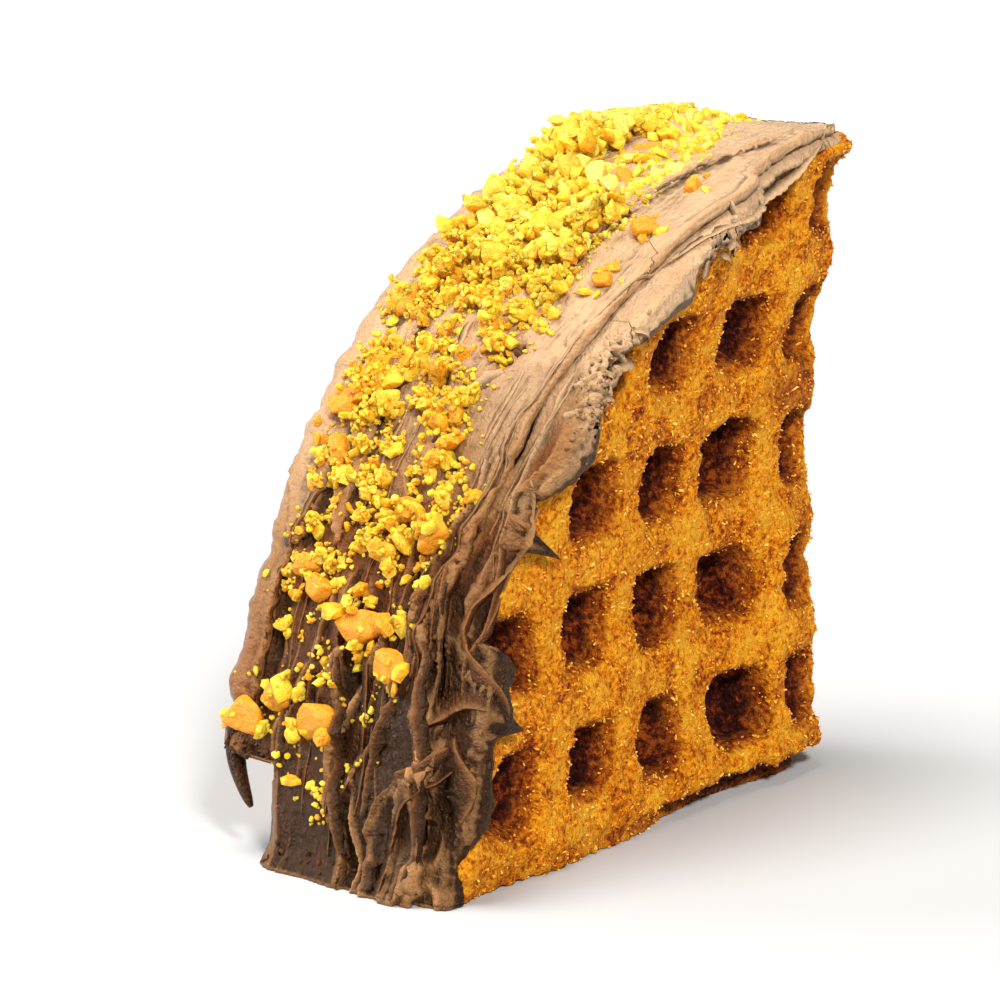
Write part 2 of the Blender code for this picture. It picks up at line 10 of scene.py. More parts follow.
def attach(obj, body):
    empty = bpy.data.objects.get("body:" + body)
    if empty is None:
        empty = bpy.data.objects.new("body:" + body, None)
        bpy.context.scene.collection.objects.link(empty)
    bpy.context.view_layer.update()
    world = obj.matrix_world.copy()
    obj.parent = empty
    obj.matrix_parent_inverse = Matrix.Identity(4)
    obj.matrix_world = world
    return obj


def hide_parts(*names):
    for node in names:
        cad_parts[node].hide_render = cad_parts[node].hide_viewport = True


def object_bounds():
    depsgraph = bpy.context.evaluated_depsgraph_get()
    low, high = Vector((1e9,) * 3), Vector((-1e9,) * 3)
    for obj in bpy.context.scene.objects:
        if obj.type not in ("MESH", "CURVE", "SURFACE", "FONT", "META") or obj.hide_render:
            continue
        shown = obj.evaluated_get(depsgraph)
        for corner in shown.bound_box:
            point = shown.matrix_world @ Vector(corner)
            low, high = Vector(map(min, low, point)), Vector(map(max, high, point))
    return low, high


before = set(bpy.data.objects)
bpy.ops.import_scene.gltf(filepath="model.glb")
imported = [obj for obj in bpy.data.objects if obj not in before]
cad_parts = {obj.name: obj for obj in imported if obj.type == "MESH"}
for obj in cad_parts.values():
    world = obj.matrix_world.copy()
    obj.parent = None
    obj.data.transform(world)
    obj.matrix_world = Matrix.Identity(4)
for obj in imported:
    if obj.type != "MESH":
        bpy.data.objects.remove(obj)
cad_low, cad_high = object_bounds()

# Waffle: a quarter of a round yeast waffle, folded over along its dividing groove and stood on its cut edge.
# Baked in a cast iron, so both outer faces carry the same square pockets. The crust is crisp and granular
# with caramelised sugar, golden on the ribs and dark red-brown and blistered in the pockets.
MM = 0.001
# Where the fold stands, and in metres the radius of the round side and the rounding of the fold
FOLD_PLACE = Vector((0.0487831, -0.0000874, 0.0))
PLATE_RADIUS = 0.0903
FOLD_ROUND = 0.0100
# Half thickness: at the base, then its growth with depth, height, height squared, and depth times height
OPENING = (0.01146, 0.113, -0.209, 2.743, 1.257)
# How far the plate's swelling beside the fold reaches, and its fullness in millimetres by height
BULGE_REACH = 0.022
FOLD_BULGE = ((0, 2.6), (8, 3.6), (22, 4.0), (30, 4.6), (38, 4.2), (47, 1.8), (55, 4.2), (62, 1.6), (69, 2.8),
              (80, 2.2), (90, 2.4))
# How far the front face's edge wanders, in millimetres by angle up the round side
RIM_WANDER = ((0, -2.0), (4, -0.5), (8, 0.0), (12, 0.5), (16, 0.0), (20, -1.2), (25, -2.2), (29, -1.8),
              (33, -2.0), (36, -1.0), (40, 0.2), (44, -0.8), (47, -2.0), (52, -0.8), (56, 0.0), (62, 0.3),
              (68, -0.3), (75, -1.0), (84, 0.0), (90, 0.0))
# Spacing of the crust's points, and how far every piece stays inside the solid model's box
CRUST_VOXEL = 0.56 * MM
BOX_MARGIN = 0.00002
# In millimetres: the pockets, one layer of the plate, the groove in the fold, and the two cut borders
PITCH, FIRST_COLUMN, FIRST_ROW = 17.5, 9.1, 12.3
POCKET_FLOOR_DEPTH = 6.2
RIB_DEPTH = 2.2
LAYER_THICKNESS = 8.6
FOLD_GROOVE = 3.0
BASE_BAND, RIM_BAND = 1.3, 1.4
# Relief of the ribs: size of the lumps in millimetres, their seed, and how far they move the face
RIB_GRAIN = 0.9
RIB_RELIEF = ((RIB_GRAIN, 0.0, 0.34), (RIB_GRAIN * 2.1, 7.0, 0.36), (3.2, 3.0, 0.55), (6.5, 9.0, 0.4))
BLISTER = 1.5


def linear(code):
    """An sRGB hex colour as linear red, green, blue and alpha."""
    parts = [int(code[k:k + 2], 16) / 255.0 for k in (1, 3, 5)]
    return tuple(c / 12.92 if c <= 0.04045 else ((c + 0.055) / 1.055) ** 2.4 for c in parts) + (1.0,)


def add_node(tree, kind, inputs=None, stops=None, **settings):
    """One shader node with its settings, its socket values or links, and the stops of a ramp."""
    node = tree.nodes.new(kind)
    for name, value in settings.items():
        setattr(node, name, value)
    for name, value in (inputs or {}).items():
        if isinstance(value, bpy.types.NodeSocket):
            tree.links.new(value, node.inputs[name])
        else:
            node.inputs[name].default_value = value
    if stops:
        ramp = node.color_ramp.elements
        while len(ramp) < len(stops):
            ramp.new(1.0)
        for element, (place, code) in zip(ramp, stops):
            element.position = place
            element.color = linear(code)
    return node


def new_finish(name):
    """A material with its node tree, its shader and the piece's own coordinates."""
    finish = bpy.data.materials.new(name)
    finish.use_nodes = True
    tree = finish.node_tree
    place = add_node(tree, "ShaderNodeTexCoord").outputs["Object"]
    return finish, tree, tree.nodes["Principled BSDF"], place


def across_curve(curve, degrees):
    """The value at a place in a table of places and values."""
    angles, values = zip(*curve)
    return np.interp(degrees, angles, values)


def half_width(u, v):
    """Half of the folded waffle's thickness at a depth from the fold and a height."""
    base, per_depth, per_height, height_squared, twist = OPENING
    spread = base + per_depth * u + per_height * v + height_squared * v * v + twist * u * v
    spread = spread + across_curve(FOLD_BULGE, v / MM) * MM * np.exp(-(np.abs(u) / BULGE_REACH) ** 3)
    rounding = np.clip(1.0 - u / FOLD_ROUND, 0.0, 1.0)
    return spread * np.sqrt(1.0 - rounding ** 2)


def front_half(u, v):
    """Half thickness to the front face, whose edge wanders."""
    nearness = (np.hypot(u, v) / PLATE_RADIUS) ** 4
    wander = across_curve(RIM_WANDER, np.degrees(np.arctan2(v, u))) * MM
    return half_width(u, v) + wander * nearness * np.clip(u / FOLD_ROUND, 0.0, 1.0)


def below_face(points):
    """How far points lie below the waffle's outer face, in millimetres."""
    u, v = FOLD_PLACE.x - points[:, 0], points[:, 2]
    u = np.maximum(u, 0.25 * MM)
    y = points[:, 1] - FOLD_PLACE.y
    step = 0.3 * MM
    half = np.where(y < 0.0, front_half(u, v), half_width(u, v))
    slope_u = (half_width(u + step, v) - half_width(np.maximum(u - step, 0.0), v)) / (2.0 * step)
    slope_v = (half_width(u, v + step) - half_width(u, v - step)) / (2.0 * step)
    return (half - np.abs(y)) / np.sqrt(1.0 + slope_u ** 2 + slope_v ** 2) / MM


def lumps(points, size, seed=0.0):
    """Smooth noise from about -1 to 1 at each point, with lumps of this size in millimetres."""
    scaled = points / (size * MM) + seed
    return np.array([noise.noise(place) for place in scaled.tolist()])


def domes(points, size, seed=0.0):
    """Cells of this size in millimetres: 1 in the middle of each, 0 at its border."""
    scaled = points / (size * MM) + seed
    near = [noise.voronoi(place)[0] for place in scaled.tolist()]
    return np.clip(np.array([(d[1] - d[0]) for d in near]) / 0.45, 0.0, 1.0)


def make_active(piece):
    """Selects this piece alone."""
    bpy.ops.object.select_all(action="DESELECT")
    piece.select_set(True)
    bpy.context.view_layer.objects.active = piece


def finish_with(piece, kind, **settings):
    """Adds a modifier and applies it."""
    modifier = piece.modifiers.new(kind.lower(), kind)
    for name, value in settings.items():
        setattr(modifier, name, value)
    make_active(piece)
    bpy.ops.object.modifier_apply(modifier=modifier.name)


def read_points(piece, what="co"):
    """The place of each point of the piece, or its normal."""
    values = np.empty(len(piece.data.vertices) * 3)
    piece.data.vertices.foreach_get(what, values)
    return values.reshape(-1, 3)


def write_points(piece, points):
    """Puts the piece's points at these places."""
    piece.data.vertices.foreach_set("co", points.ravel())
    piece.data.update()


def write_values(piece, name, values):
    """A number for each point of the piece, for its material."""
    layer = piece.data.attributes.new(name, "FLOAT", "POINT")
    layer.data.foreach_set("value", np.asarray(values, dtype=np.float32))


def keep_in_box(points):
    """Points held inside the solid model's box."""
    return np.clip(points, np.array(cad_low) + BOX_MARGIN, np.array(cad_high) - BOX_MARGIN)


crust = bpy.data.objects.new("waffle_crust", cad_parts["waffle"].data.copy())
bpy.context.collection.objects.link(crust)
make_active(crust)
bpy.ops.object.mode_set(mode="EDIT")
bpy.ops.mesh.select_all(action="SELECT")
bpy.ops.mesh.remove_doubles(threshold=0.000001)
bpy.ops.object.mode_set(mode="OBJECT")
finish_with(crust, "REMESH", mode="VOXEL", voxel_size=CRUST_VOXEL)
finish_with(crust, "SMOOTH", factor=0.5, iterations=5)

centres = np.empty(len(crust.data.polygons) * 3)
crust.data.polygons.foreach_get("center", centres)
inside = below_face(centres.reshape(-1, 3)) > LAYER_THICKNESS
crust.data.polygons.foreach_set("select", inside)
bpy.ops.object.mode_set(mode="EDIT")
bpy.context.tool_settings.mesh_select_mode = (False, False, True)
bpy.ops.mesh.decimate(ratio=0.06)
bpy.ops.mesh.select_all(action="SELECT")
bpy.ops.mesh.quads_convert_to_tris()
bpy.ops.object.mode_set(mode="OBJECT")

points = read_points(crust)
outward = read_points(crust, "normal")
from_fold = (FOLD_PLACE.x - points[:, 0]) / MM
depth = below_face(points) * np.clip((from_fold - FOLD_GROOVE) / FOLD_GROOVE, 0.0, 1.0)
radius = np.hypot(FOLD_PLACE.x - points[:, 0], points[:, 2])
at_base = np.clip(1.0 - points[:, 2] / (BASE_BAND * MM), 0, 1)
at_rim = np.clip((radius - PLATE_RADIUS) / MM + RIM_BAND, 0, 1)
cut_edge = np.maximum(at_base, at_rim)
in_pocket = np.clip((depth - RIB_DEPTH) / 3.0, 0.0, 1.0)
grain = sum(lumps(points, size, seed) * amount for size, seed, amount in RIB_RELIEF)

# The ribs stand highest where they cross
column_wave = np.cos((from_fold - FIRST_COLUMN) / PITCH * 2.0 * np.pi)
row_wave = np.cos((points[:, 2] / MM - FIRST_ROW) / PITCH * 2.0 * np.pi)
saddle = -0.28 * (column_wave + row_wave) - 0.22 * np.maximum(column_wave, row_wave)
saddle -= 0.25 * column_wave * row_wave
grain += saddle * np.clip(2.0 - depth, 0.0, 1.0)

# The pockets are blistered instead, and the inner side keeps its shape
blisters = (domes(points, BLISTER) - 0.5) * 0.5 + lumps(points, 1.0, 5.0) * 0.16
move = grain * (1.0 - in_pocket) + blisters * in_pocket
move = np.where(depth > LAYER_THICKNESS - 0.6, 0.0, move)
points = keep_in_box(points + outward * (move * MM)[:, None])
write_points(crust, points)
depth_share = np.clip(depth, 0.0, POCKET_FLOOR_DEPTH) / POCKET_FLOOR_DEPTH
write_values(crust, "pocket_depth", depth_share * (1.0 - 0.7 * cut_edge))
crust.data.shade_smooth()

# Crisp yeast-waffle crust with caramelised sugar: granular and mostly dull on the ribs, and darker and glossier
# in the pockets, where the sugar has pooled and blistered; part of that darkening with depth is painted shade.
baked, tree, shader, place = new_finish("caramelised waffle crust")
depth_in = add_node(tree, "ShaderNodeAttribute", attribute_name="pocket_depth").outputs["Fac"]
patches = add_node(tree, "ShaderNodeTexNoise",
                   {"Vector": place, "Scale": 1 / (5 * MM), "Detail": 3.0}).outputs["Fac"]
grains = add_node(tree, "ShaderNodeTexNoise", {"Vector": place, "Scale": 1 / (0.75 * MM), "Detail": 4.0,
                                              "Roughness": 0.68}).outputs["Fac"]
coarse = add_node(tree, "ShaderNodeMath", {0: grains, 1: 1.9, 2: -0.80}, operation="MULTIPLY_ADD").outputs[0]
toasting = add_node(tree, "ShaderNodeMath",
                    {0: patches, 1: 1.15, 2: coarse}, operation="MULTIPLY_ADD").outputs[0]
rib_colour = add_node(tree, "ShaderNodeValToRGB", {"Fac": toasting}, stops=(
    (0.33, "#7C2E00"), (0.53, "#C66402"), (0.72, "#F09208"), (0.98, "#FFBA2C"))).outputs["Color"]
wall_colour = add_node(tree, "ShaderNodeValToRGB", {"Fac": toasting}, stops=(
    (0.34, "#571803"), (0.54, "#8A3804"), (0.72, "#B0560A"), (0.95, "#D88018"))).outputs["Color"]
cells = add_node(tree, "ShaderNodeTexVoronoi", {"Vector": place, "Scale": 1 / (1.5 * MM)}).outputs["Distance"]
pooled = add_node(tree, "ShaderNodeMath",
                  {0: cells, 1: -0.45, 2: toasting}, operation="MULTIPLY_ADD").outputs[0]
floor_colour = add_node(tree, "ShaderNodeValToRGB", {"Fac": pooled}, stops=(
    (0.16, "#1E0603"), (0.37, "#3C1006"), (0.56, "#641F07"), (0.82, "#A24E12"))).outputs["Color"]
# From rib to wall to floor colour with depth: partly the pockets' darker baking, partly painted shade in them
uneven = add_node(tree, "ShaderNodeMath",
                  {0: patches, 1: 0.24, 2: depth_in}, operation="MULTIPLY_ADD").outputs[0]
to_wall = add_node(tree, "ShaderNodeMapRange",
                   {"Value": uneven, "From Min": 0.17, "From Max": 0.33}).outputs[0]
to_floor = add_node(tree, "ShaderNodeMapRange",
                    {"Value": uneven, "From Min": 0.40, "From Max": 0.76}).outputs[0]
walled = add_node(tree, "ShaderNodeMix",
                  {0: to_wall, 6: rib_colour, 7: wall_colour}, data_type="RGBA").outputs[2]
crusted = add_node(tree, "ShaderNodeMix",
                   {0: to_floor, 6: walled, 7: floor_colour}, data_type="RGBA").outputs[2]
fine = add_node(tree, "ShaderNodeTexNoise", {"Vector": place, "Scale": 1 / (0.3 * MM), "Detail": 3.0,
                                            "Roughness": 0.65}).outputs["Fac"]
pits = add_node(tree, "ShaderNodeTexVoronoi", {"Vector": place, "Scale": 1 / (0.7 * MM)}).outputs["Distance"]
pitted = add_node(tree, "ShaderNodeMath", {0: pits, 1: 0.4, 2: fine}, operation="MULTIPLY_ADD").outputs[0]
relief = add_node(tree, "ShaderNodeMath", {0: grains, 1: 1.4, 2: pitted}, operation="MULTIPLY_ADD").outputs[0]
bump = add_node(tree, "ShaderNodeBump",
                {"Height": relief, "Strength": 1.0, "Distance": 0.55 * MM}).outputs["Normal"]
gloss = add_node(tree, "ShaderNodeMapRange",
                 {"Value": depth_in, "From Min": 0.2, "From Max": 0.9, "To Min": 0.72,
                  "To Max": 0.42}).outputs[0]
tree.links.new(crusted, shader.inputs["Base Color"])
tree.links.new(gloss, shader.inputs["Roughness"])
tree.links.new(bump, shader.inputs["Normal"])
shader.inputs["Specular IOR Level"].default_value = 0.15
crust.data.materials.clear()
crust.data.materials.append(baked)
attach(crust, "root")
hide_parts("waffle")

# Sugar crust: pearl sugar and torn crumbs that stand up from the ribs. The sugar melts against the hot iron
# and sets as hard amber grains, so they are fused to the crust. Sizes are in millimetres.
SUGAR_GRAINS = 9400
SUGAR_SIZE = (0.12, 0.30)


def join_copies(name, templates, placed):
    """One piece made of copies of templates; each copy is a template's number, a matrix and a shade."""
    corners, faces, shades = [], [], []
    start = 0
    for number, matrix, shade in placed:
        verts, tris = templates[number]
        turned = verts @ np.array(matrix.to_3x3()).T + np.array(matrix.translation)
        corners.append(turned)
        faces.append(tris + start)
        shades.append(np.full(len(verts), shade))
        start += len(verts)
    corners, faces = keep_in_box(np.concatenate(corners)), np.concatenate(faces)
    mesh = bpy.data.meshes.new(name)
    mesh.from_pydata(corners.tolist(), [], faces.tolist())
    mesh.update()
    piece = bpy.data.objects.new(name, mesh)
    bpy.context.collection.objects.link(piece)
    write_values(piece, "piece_shade", np.concatenate(shades))
    return piece


def take_template(piece):
    """A modelled piece's corners and triangles, after which the piece itself is removed."""
    make_active(piece)
    bpy.ops.object.mode_set(mode="EDIT")
    bpy.ops.mesh.select_all(action="SELECT")
    bpy.ops.mesh.quads_convert_to_tris()
    bpy.ops.object.mode_set(mode="OBJECT")
    verts = read_points(piece)
    tris = np.array([tuple(face.vertices) for face in piece.data.polygons])
    bpy.data.objects.remove(piece, do_unlink=True)
    return verts, tris


def sugar_template(seed):
    """A grain about one unit in radius, knocked out of round."""
    draw = random.Random(seed)
    bpy.ops.mesh.primitive_ico_sphere_add(subdivisions=1, radius=1.0)
    grain = bpy.context.object
    for vert in grain.data.vertices:
        vert.co *= draw.uniform(0.55, 1.2)
    return take_template(grain)


draw = random.Random(11)
sugar_templates = [sugar_template(seed) for seed in range(6)]
on_rib = np.flatnonzero((depth < 2.6) & (cut_edge < 0.9))
placed = []
for _ in range(SUGAR_GRAINS):
    k = int(on_rib[draw.randrange(len(on_rib))])
    size = draw.uniform(*SUGAR_SIZE) * MM * draw.uniform(0.6, 1.0)
    widths = size * draw.uniform(0.5, 1.0), size * draw.uniform(0.5, 1.0), size * draw.uniform(0.9, 2.6)
    stretch = Matrix.Diagonal(widths)
    lean = Euler((draw.uniform(-1.2, 1.2), draw.uniform(-1.2, 1.2), draw.uniform(0, math.tau))).to_matrix()
    turn = Vector(outward[k]).to_track_quat("Z", "Y").to_matrix() @ lean @ stretch
    where = Vector(points[k]) + Vector(outward[k]) * size * 0.4
    placed.append((draw.randrange(6), Matrix.Translation(where) @ turn.to_4x4(), draw.random()))
sugar_piece = join_copies("crust_sugar", sugar_templates, placed)

# Caramelised pearl sugar and crumb: clear amber to pale gold, slightly glassy
sugared, tree, shader, _ = new_finish("caramelised sugar grains")
shade = add_node(tree, "ShaderNodeAttribute", attribute_name="piece_shade").outputs["Fac"]
grain_colour = add_node(tree, "ShaderNodeValToRGB", {"Fac": shade}, stops=(
    (0.0, "#CC7206"), (0.4, "#EC9A12"), (0.75, "#FCB426"), (1.0, "#FFCE58"))).outputs["Color"]
tree.links.new(grain_colour, shader.inputs["Base Color"])
shader.inputs["Roughness"].default_value = 0.4
sugar_piece.data.materials.append(sugared)
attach(sugar_piece, "root")
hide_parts("waffle")

# Cream filling: chocolate and hazelnut cream, spread on one half of the warm plate and pressed to a wedge when
# the other half was folded over it. It reaches from near the fold to the round side, where the coat covers it.
# In metres: a layer of the plate at the fold and at the rim, then where the cream starts behind the fold, how
# long it takes to round off there, and how thin half of it may get
LAYER_AT_FOLD, LAYER_AT_RIM = 0.0102, 0.0124
CORE_START, CORE_ROUND, CORE_LEAST = 0.0135, 0.004, 0.0009
CORE_COLUMNS, CORE_ROWS = 36, 60


def core_half(u, v):
    """Half thickness of the cream between the two layers."""
    layer = LAYER_AT_FOLD + (LAYER_AT_RIM - LAYER_AT_FOLD) * u / PLATE_RADIUS
    rounding = np.clip(1.0 - (u - CORE_START) / CORE_ROUND, 0.0, 1.0)
    return np.maximum(half_width(u, v) - layer, CORE_LEAST) * np.sqrt(np.clip(1.0 - rounding ** 2, 0.0, 1.0))


def shell_from_grid(name, grid):
    """A body from a grid of points, with its first column repeated at its end so that the seam can be joined.
    """
    rows, columns = grid.shape[:2]
    bpy.ops.mesh.primitive_grid_add(x_subdivisions=columns, y_subdivisions=rows - 1, size=1.0)
    body = bpy.context.object
    body.name = name
    body.data.name = name
    closed = np.concatenate((grid, grid[:, :1]), axis=1)
    write_points(body, keep_in_box(closed.reshape(-1, 3)))
    return body


def close_shell(body):
    """Joins the seam, caps both ends and turns the faces outwards."""
    make_active(body)
    bpy.ops.object.mode_set(mode="EDIT")
    bpy.ops.mesh.select_all(action="SELECT")
    bpy.ops.mesh.remove_doubles(threshold=0.000002)
    bpy.ops.mesh.select_all(action="DESELECT")
    bpy.context.tool_settings.mesh_select_mode = (False, True, False)
    bpy.ops.mesh.select_non_manifold()
    bpy.ops.mesh.fill(use_beauty=True)
    bpy.ops.mesh.select_all(action="SELECT")
    bpy.ops.mesh.quads_convert_to_tris()
    bpy.ops.mesh.normals_make_consistent(inside=False)
    bpy.ops.object.mode_set(mode="OBJECT")
    body.data.shade_smooth()


def write_ring_values(body, **table):
    """Numbers for each point of a body from a grid, whose first column comes once more at its end."""
    for name, values in table.items():
        write_values(body, name, np.concatenate((values, values[:, :1]), axis=1).ravel())


rows = []
for share in np.linspace(0.0, 1.0, CORE_ROWS):
    v = share * (PLATE_RADIUS - 0.0004)
    far = math.sqrt(max((PLATE_RADIUS + 0.0004) ** 2 - v * v, (CORE_START + 0.0006) ** 2))
    u = CORE_START + (far - CORE_START) * (1.0 - np.cos(np.linspace(0.0, math.pi, CORE_COLUMNS))) / 2.0
    half = core_half(u, np.full_like(u, v))
    front = np.stack((-u, -half, np.full_like(u, v)), axis=1)
    rear = np.stack((-u, half, np.full_like(u, v)), axis=1)[::-1]
    rows.append(np.concatenate((front, rear[:-1])))
core_grid = np.array(rows) + np.array(FOLD_PLACE)
core_flat = core_grid.reshape(-1, 3)
core_flat[:, 1] += lumps(core_flat, 2.0) * 0.12 * MM
filling = shell_from_grid("cream_filling", core_flat.reshape(core_grid.shape))
close_shell(filling)

# Coat: the same cream spread with a spatula over the round side, in overlapping sheets and strokes, lapping
# a little over both faces. Its front edge stands as a lip over a thinner skirt, and it runs to the foot.
# Thicknesses and gaps are in metres, and so is how far the lip keeps from the front face.
COAT_THICKNESS, SKIRT_THICKNESS, LAP_THICKNESS = 0.0033, 0.0016, 0.0011
CREAM_GAP, LAP_GAP = 0.0003, 0.0005
LIP_HEIGHT, LIP_OVERHANG, LIP_MARGIN = 0.0009, 0.0012, 0.0012
# Height of the missing corner at the foot of the rear layer, and where the coat ends beside it
BROKEN_HEIGHT, BROKEN_WALL = 0.0135, 0.0118
# The coat is made of rings across the round side, up to this angle, each with lines of points on the skirt,
# on the coat itself, of which a share lies past the split, and at the rear
COAT_TOP = 88.4
COAT_RINGS = 430
SKIRT_LINES, COAT_LINES, REAR_LINES = 48, 146, 18
REAR_SHARE, REAR_SPLIT = 0.26, 0.0078
# How much painted shade darkens the crease under the lip and a torn hollow,
# and how much painted light makes the front lap paler
CREASE_SHADE, LAP_LIGHT, HOLLOW_SHADE = 0.6, 0.36, 0.3
# The lip's place across by angle, in millimetres
LIP_LINE = ((0, -14.9), (10, -15.4), (17, -14.5), (24, -13.0), (31, -14.3), (37, -15.9), (42, -15.0),
            (50, -17.5), (59, -19.2), (68, -22.2), (81, -19.6), (90, -9.0))
# How far the cream laps over the front face, or below 0 stays short of it, in millimetres by angle
FRONT_BORDER = ((0, -2.0), (3.7, -3.0), (5.0, -2.0), (6.5, 1.7), (8.7, 2.1), (10.2, 0.8), (13.1, 0.5),
                (13.9, 1.6), (14.7, 6.8), (15.8, 3.8), (18.0, 2.6), (19.8, 4.2), (20.6, 2.6), (21.3, -3.0),
                (23.6, -3.6), (26.2, -2.4), (28.6, -1.8), (29.3, 1.6), (30.3, 8.1), (30.8, 1.2),
                (31.8, -2.6), (33.3, -2.0), (34.2, 0.4), (35.7, 2.6), (38.8, 4.1), (40.9, 1.4),
                (43.3, -0.6), (45.8, -2.6), (48, -0.6), (50, 1.6), (52, 2.2), (54.5, 2.7), (56.5, 3.7),
                (58.1, -0.4), (61.5, 0.6), (65, 1.4), (68.4, 3.5), (69.5, -1.8), (73, -2.3), (76.7, -2.8),
                (81, -3.4), (85, -4.6), (90, -6.0))
# How far that lap stands off the face, in millimetres by angle
LAP_LIFT = ((0, 0.2), (5, 0.3), (8, 0.9), (12, 0.9), (13.5, 0.5), (15, 1.1), (19, 1.1), (20.5, 0.5),
            (22, 0.1), (28.5, 0.2), (30, 0.9), (31, 0.3), (35, 0.4), (39, 0.7), (44, 0.3), (52, 0.5),
            (57, 0.6), (60, 0.2), (68, 0.5), (90, 0.1))
# Lobes of the lap over the rear face: angle, reach in millimetres and spread in degrees
REAR_LAPS = ((14, 3.2, 2.5), (23, 2.2, 3.0), (33, 4.4, 1.8), (44, 2.6, 3.0), (57, 3.8, 2.2), (70, 2.4, 3.0))
# How soft a sheet's edge is across, in millimetres
SHEET_EDGE = 0.24
# Sheets that the spatula left: side that lies higher (1 rear, -1 front), step and width of the raised strip in
# millimetres, then the edge's points as angle and place across
SHEETS = ((1, 1.3, 5.0, ((1, -3.1), (4, -1.9), (9, 0.3), (13, 0.9), (15.5, 1.3), (18, 2.2), (23, 3.0))),
          (1, 1.3, 4.0, ((14, 15.6), (17, 15.3), (20, 15.4), (23, 15.4), (27, 14.5), (32.5, 13.1))),
          (-1, 1.0, 3.0, ((6.5, -0.9), (8, -1.7), (10.7, -3.9), (13, -6.8), (15.3, -8.7), (20, -9.3),
                          (23.5, -8.9))),
          (1, 1.3, 2.6, ((14.3, -13.9), (16.4, -12.7), (19, -13.1), (21.5, -11.3))),
          (1, 1.1, 2.4, ((19.2, -18.5), (21, -16.7), (24.7, -16.9), (27.6, -18.9), (30.2, -19.4),
                         (32.7, -19.1))),
          (-1, 1.1, 3.0, ((-0.5, -7.5), (2.3, -6.9), (5, -6.7), (7.6, -8.2), (9.3, -12.0), (11.5, -16.0))),
          (-1, 1.0, 2.6, ((0, -10.8), (2.7, -10.5), (7.3, -11.0), (9.8, -13.5), (11.3, -16.0))),
          (1, 1.2, 2.4, ((0, -13.3), (4.1, -14.8), (7.1, -14.9), (8.1, -13.9))),
          (-1, 1.1, 4.0, ((35, -1.0), (38, -2.4), (40, -3.4), (43, -3.7), (44.7, -5.6))),
          (-1, 0.9, 4.0, ((42.7, 0.3), (46.6, 1.7), (50, 1.7), (54, 0.6))),
          (1, 0.8, 4.0, ((56.4, -5.7), (61.3, -7.7), (70, -10.9), (76, -13.9))),
          (1, 0.8, 3.0, ((24, 7.5), (32, 8.6), (42, 9.8), (50, 12.0))),
          (-1, 0.9, 3.0, ((58, 13.5), (66, 12.0), (74, 9.0), (82, 5.0))),
          (-1, 0.9, 1.6, ((21.3, -11.1), (24.6, -12.1), (27.4, -12.5), (30.9, -13.2), (36.2, -14.3),
                          (39.1, -14.3))),
          (1, 0.9, 1.6, ((21.8, -9.6), (24.3, -8.6), (28.1, -9.8), (30.9, -12.6))))
# Hollows torn in the coat: angle, place across and depth in millimetres, and spread along in degrees and across
HOLLOWS = ((44.7, -6.3, 2.6, 1.3, 1.3), (26.2, -6.2, 2.0, 1.5, 0.9), (24.6, -10.2, 1.6, 3.6, 0.6),
           (15.4, 0.0, 1.2, 3.0, 0.9), (13.9, -21.0, 1.4, 1.5, 2.4), (36.5, -19.0, 0.7, 3.0, 1.6),
           (18.5, 13.8, 1.3, 2.6, 0.9), (24.0, -21.0, 0.8, 2.4, 1.6), (45.5, -7.8, 1.4, 0.7, 0.8))
# Where the skirt is torn: angle, spread in degrees, and amount
TORN_SKIRT = ((41.5, 5.0, 0.8), (47.0, 4.0, 1.0), (62.5, 4.0, 0.8), (30.0, 4.0, 0.3), (12.0, 8.0, 0.3))


def lap_reach(laps, degrees, seed):
    """How far the cream laps over a face at this angle: a narrow border with lobes and a ragged edge."""
    lobes = [reach * math.exp(-(abs(degrees - angle) / spread) ** 1.5) for angle, reach, spread in laps]
    ragged = noise.noise((degrees / 1.1, seed, 0.0)) * 0.5 + noise.noise((degrees / 0.45, seed, 4.0)) * 0.25
    return (0.8 + max(lobes) + ragged) * MM


def sheets_at(degrees, y):
    """Height that the spread sheets add at places across, how near each place is to a sheet's edge, and how
    far it is pulled over."""
    total, edges, pull = np.zeros_like(y), np.zeros_like(y), np.zeros_like(y)
    for number, (side, step, strip, line) in enumerate(SHEETS):
        first, last = line[0][0], line[-1][0]
        past = max(first - degrees, degrees - last, 0.0)
        if past > 5.0:
            continue
        ragged = noise.noise((degrees / 2.6, number * 3.1, 0.0)) * 0.8
        ragged += noise.noise((degrees / 0.8, number, 5.0)) * 0.4
        ragged += noise.noise((degrees / 0.35, number, 8.0)) * 0.2
        inside = side * (y / MM - across_curve(line, degrees) - ragged)
        edge = np.clip(0.5 + inside / SHEET_EDGE, 0.0, 1.0)
        edge = edge * edge * (3.0 - 2.0 * edge)
        fade = math.exp(-(past / 1.6) ** 2)
        lifted = 0.6 + 0.5 * noise.noise((degrees / 3.0, number * 1.7, 3.0))
        bead = np.exp(-((inside - 0.22) / 0.22) ** 2) * fade * lifted
        rise = step * edge * np.exp(-np.maximum(inside, 0.0) / strip)
        total += rise * fade * (0.4 + lifted) + 0.16 * bead
        edges = np.maximum(edges, np.exp(-((inside - 0.12) / 0.2) ** 2) * fade * lifted)
        pull -= side * 0.42 * bead
    return total * MM, edges, pull * MM


def coat_height(degrees, y):
    """Thickness of the coat over the plate's round edge, with its sheets' edges and their pull."""
    rise, edges, pull = sheets_at(degrees, y)
    height = COAT_THICKNESS - 0.0006 + rise
    for angle, place, fall, along, across in HOLLOWS:
        height -= fall * MM * np.exp(-((degrees - angle) / along) ** 2 - ((y / MM - place) / across) ** 2)
    slow = [noise.noise((degrees / 6.0, float(value) * 160.0, 1.3)) for value in y]
    return np.maximum(height + np.array(slow) * 0.5 * MM, 0.0009), edges, pull


